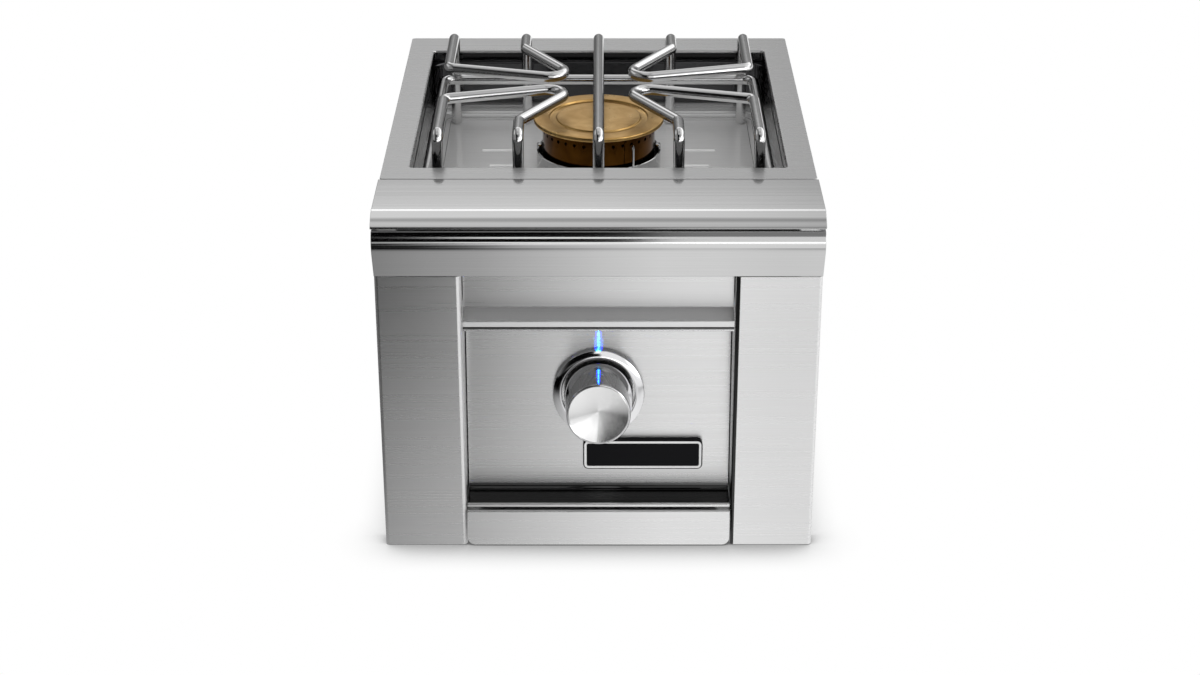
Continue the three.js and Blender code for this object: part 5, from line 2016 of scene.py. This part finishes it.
@dataclass(frozen=True)
class Studio:
    """Pale floor, soft light and camera."""

    floor_size: float = 14.0
    floor_tone: float = 0.92
    sky: float = 1.1
    lens: float = 68.5
    sensor: float = 36.0
    pitch: float = 25.6
    camera: Triple = (1.2, -1641.5, 977.5)
    side_panel: float = 1.4
    skirting: float = 1.4
    sky_mirrored_twice: float = 0.15
    contact_reach: float = 0.045
    floor_drop: float = 0.0005
    sight: float = 50.0

    def build(self, shop: Workshop) -> None:
        """Makes the studio.

        Args:
            shop: The workshop.
        """
        scene = bpy.context.scene
        scene.view_settings.view_transform = "Standard"
        self.build_sky(scene)
        self.build_floor()
        camera = bpy.data.cameras.new("camera")
        camera.lens = self.lens
        camera.sensor_width = self.sensor
        camera.clip_end = self.sight
        holder = bpy.data.objects.new("camera", camera)
        holder.location = shop.to_row @ Vector(self.camera)
        holder.rotation_euler = (math.radians(90.0 - self.pitch), 0.0, 0.0)
        scene.collection.objects.link(holder)
        scene.camera = holder

    def build_sky(self, scene: bpy.types.Scene) -> None:
        """Soft light all round, with darker and lighter sides for the metal to reflect.

        Args:
            scene: The scene that it lights.
        """
        world = bpy.data.worlds.new("studio")
        scene.world = world
        world.use_nodes = True
        world.cycles.sampling_method = "NONE"
        tones = Tones(world.node_tree)
        glossy = self.mirrored_sky(tones)
        path = tones.node("ShaderNodeLightPath")
        glossy = tones.mix(tones.mirrored_twice(path), glossy, self.sky_mirrored_twice)
        light = tones.mix(path.outputs["Is Glossy Ray"], self.sky, glossy)
        light = tones.mix(path.outputs["Is Camera Ray"], light, 1.0)
        background = tones.node("ShaderNodeBackground")
        background.inputs["Color"].default_value = (1.0, 1.0, 1.0, 1.0)
        tones.link(light, background.inputs["Strength"])
        output = tones.node("ShaderNodeOutputWorld")
        tones.link(background.outputs["Background"], output.inputs["Surface"])

    def mirrored_sky(self, tones: Tones) -> Socket:
        """The sky as the metal mirrors it.

        Args:
            tones: The sky's graph.

        Returns:
            Its brightness.
        """
        x, y, z = tones.axes("Generated")
        back = tones.curve(z, 0.0, 1.0, [(0.0, 0.15), (0.28, 0.28), (0.365, 0.42), (0.386, 0.47),
                                         (0.396, 1.1), (0.6, 1.1), (0.64, 0.65), (0.98, 0.65),
                                         (1.0, 0.36)])
        front = tones.curve(z, 0.0, 1.0, [(0.0, 0.002), (0.82, 0.002), (0.84, 0.5), (0.94, 0.55),
                                          (0.965, 0.5), (0.99, 0.34), (1.0, 0.34)])
        skirting = tones.curve(z, -0.2, 0.3, [(0.0, 1.0), (0.06, 1.0), (0.09, 0.0)])
        across = tones.curve(x, -0.2, 0.2, [(-0.12, 0.1), (-0.05, 0.9), (0.02, 1.0)])
        skirting = tones.times(skirting, across)
        front = tones.plus(front, tones.times(skirting, self.skirting))
        turn = tones.curve(y, -1.0, 1.0, [(-0.03, 0.0), (0.03, 1.0)])
        side = tones.curve(x, -1.0, 1.0, [(-1.0, 0.7), (-0.65, 0.5), (-0.45, 0.1), (-0.3, 0.75),
                                          (-0.11, 1.0), (0.0, 0.97), (0.06, 0.89), (0.12, 0.7),
                                          (0.25, 1.0), (0.5, 1.3), (1.0, 1.8)])
        aside = tones.curve(x, -1.0, 1.0, [(-0.6, 1.0), (-0.42, 0.0), (0.42, 0.0), (0.6, 1.0)])
        front = tones.mix(aside, front, 0.4)
        glossy = tones.times(tones.mix(turn, front, back), side)
        beside = tones.curve(x, -1.0, 1.0, [(0.42, 0.0), (0.6, 1.0)])
        low = tones.curve(z, -1.0, 1.0, [(-0.05, 0.0), (0.0, 1.0), (0.28, 1.0), (0.38, 0.0)])
        panel = tones.times(tones.times(beside, low), self.side_panel)
        panel = tones.times(panel, tones.curve(y, -1.0, 1.0, [(-0.4, 1.0), (-0.2, 0.0)]))
        glossy = tones.plus(glossy, panel)
        ahead = tones.curve(x, -0.1, 0.2, [(0.015, 0.0), (0.03, 1.0)])
        wedge = tones.curve(z, 0.0, 1.0, [(0.03, 0.9), (0.5, 0.9), (0.53, 0.26), (0.82, 0.26),
                                          (0.83, 0.0)])
        streak = tones.curve(z, 0.3, 0.6, [(0.36, 0.0), (0.38, 1.2), (0.48, 1.2), (0.5, 0.0)])
        middle = tones.curve(x, -0.1, 0.2, [(-0.08, 0.0), (-0.05, 1.0), (0.015, 1.0), (0.03, 0.0)])
        cards = tones.plus(tones.times(ahead, wedge), tones.times(middle, streak))
        return tones.plus(glossy, tones.times(cards, tones.mix(turn, 1.0, 0.0)))

    def build_floor(self) -> None:
        """A pale floor that the metal sees darker on the left and lighter on the right."""
        half = self.floor_size / 2
        mesh = bpy.data.meshes.new("floor")
        corners = [(-half, -half, 0), (half, -half, 0), (half, half, 0), (-half, half, 0)]
        mesh.from_pydata(corners, [], [(0, 1, 2, 3)])
        floor = bpy.data.objects.new("floor", mesh)
        floor.location.z = -self.floor_drop
        bpy.context.scene.collection.objects.link(floor)
        material = bpy.data.materials.new("floor")
        material.use_nodes = True
        material.cycles.emission_sampling = "NONE"
        mesh.materials.append(material)
        tones = Tones(material.node_tree)
        path = tones.node("ShaderNodeLightPath")
        # The camera sees the floor as a glow that the occlusion darkens near the burner: a painted
        # contact shadow.
        contact = tones.node("ShaderNodeAmbientOcclusion")
        contact.inputs["Distance"].default_value = self.contact_reach
        stops = [(0.3, 0.12), (0.5, 0.4), (0.8, 0.84), (0.97, 1.0)]
        shade = tones.curve(contact.outputs["AO"], 0.0, 1.0, stops)
        seen = tones.mix(path.outputs["Is Glossy Ray"], shade, self.mirrored_floor(tones))
        glow = tones.node("ShaderNodeEmission")
        tones.link(seen, glow.inputs["Strength"])
        matt = tones.node("ShaderNodeBsdfDiffuse")
        matt.inputs["Color"].default_value = (*(self.floor_tone,) * 3, 1.0)
        mixer = tones.node("ShaderNodeMixShader")
        tones.link(path.outputs["Is Diffuse Ray"], mixer.inputs["Fac"])
        tones.link(glow.outputs["Emission"], mixer.inputs[1])
        tones.link(matt.outputs["BSDF"], mixer.inputs[2])
        output = tones.node("ShaderNodeOutputMaterial")
        tones.link(mixer.outputs["Shader"], output.inputs["Surface"])

    def mirrored_floor(self, tones: Tones) -> Socket:
        """The floor as the metal mirrors it.

        Args:
            tones: The floor's graph.

        Returns:
            Its brightness.
        """
        x, y, _ = tones.axes("Object")
        near = tones.curve(x, -0.5, 0.5, [(-0.3, 0.15), (-0.2, 0.33), (-0.15, 0.43), (-0.11, 0.5),
                                          (-0.055, 0.66), (0.0, 0.82), (0.055, 0.94), (0.11, 0.93),
                                          (0.17, 0.87), (0.3, 0.9)])
        far = tones.curve(x, -0.5, 0.5, [(-0.3, 0.0), (-0.22, 0.0), (-0.15, 0.01), (-0.08, 0.22),
                                         (0.0, 0.52), (0.08, 0.74), (0.14, 0.74), (0.19, 0.56),
                                         (0.3, 0.5)])
        beyond = tones.curve(x, -0.5, 0.5, [(-0.3, 0.0), (-0.2, 0.03), (-0.14, 0.2), (-0.09, 0.5),
                                            (0.0, 0.75), (0.08, 0.98), (0.15, 1.0), (0.3, 0.9)])
        share = tones.curve(y, -1.0, 0.0, [(-0.68, 1.0), (-0.62, 0.8), (-0.54, 0.3), (-0.46, 0.0)])
        deeper = tones.curve(y, -1.0, 0.0, [(-0.80, 1.0), (-0.70, 0.0)])
        horizon = tones.curve(y, -3.0, 0.0, [(-2.0, 1.0), (-1.3, 0.0)])
        mirrored = tones.mix(deeper, tones.mix(share, near, far), beyond)
        fade = tones.curve(x, -1.0, 1.0, [(-0.35, 0.0), (-0.15, 1.0)])
        return tones.mix(tones.times(horizon, fade), mirrored, 1.0)


def main() -> None:
    """Builds the studio and the looks, piece by piece."""
    logging.basicConfig(level=logging.INFO, format="%(message)s")
    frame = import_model()
    deck = Deck()
    shop = Workshop(deck.rear, Paints())
    Studio().build(shop)
    HiddenNodes().dress(frame, shop)
    assemblies = (deck, FrontTrim(), Pillars(), Hood(), ControlPanel(), Knob(), Burner(), WellPan(),
                  Grate(), DripTray(), Lamp(), CasingScrews())
    for assembly in assemblies:
        assembly.build(shop)
        LOG.info("built %s", type(assembly).__name__)


if __name__ == "__main__":
    main()
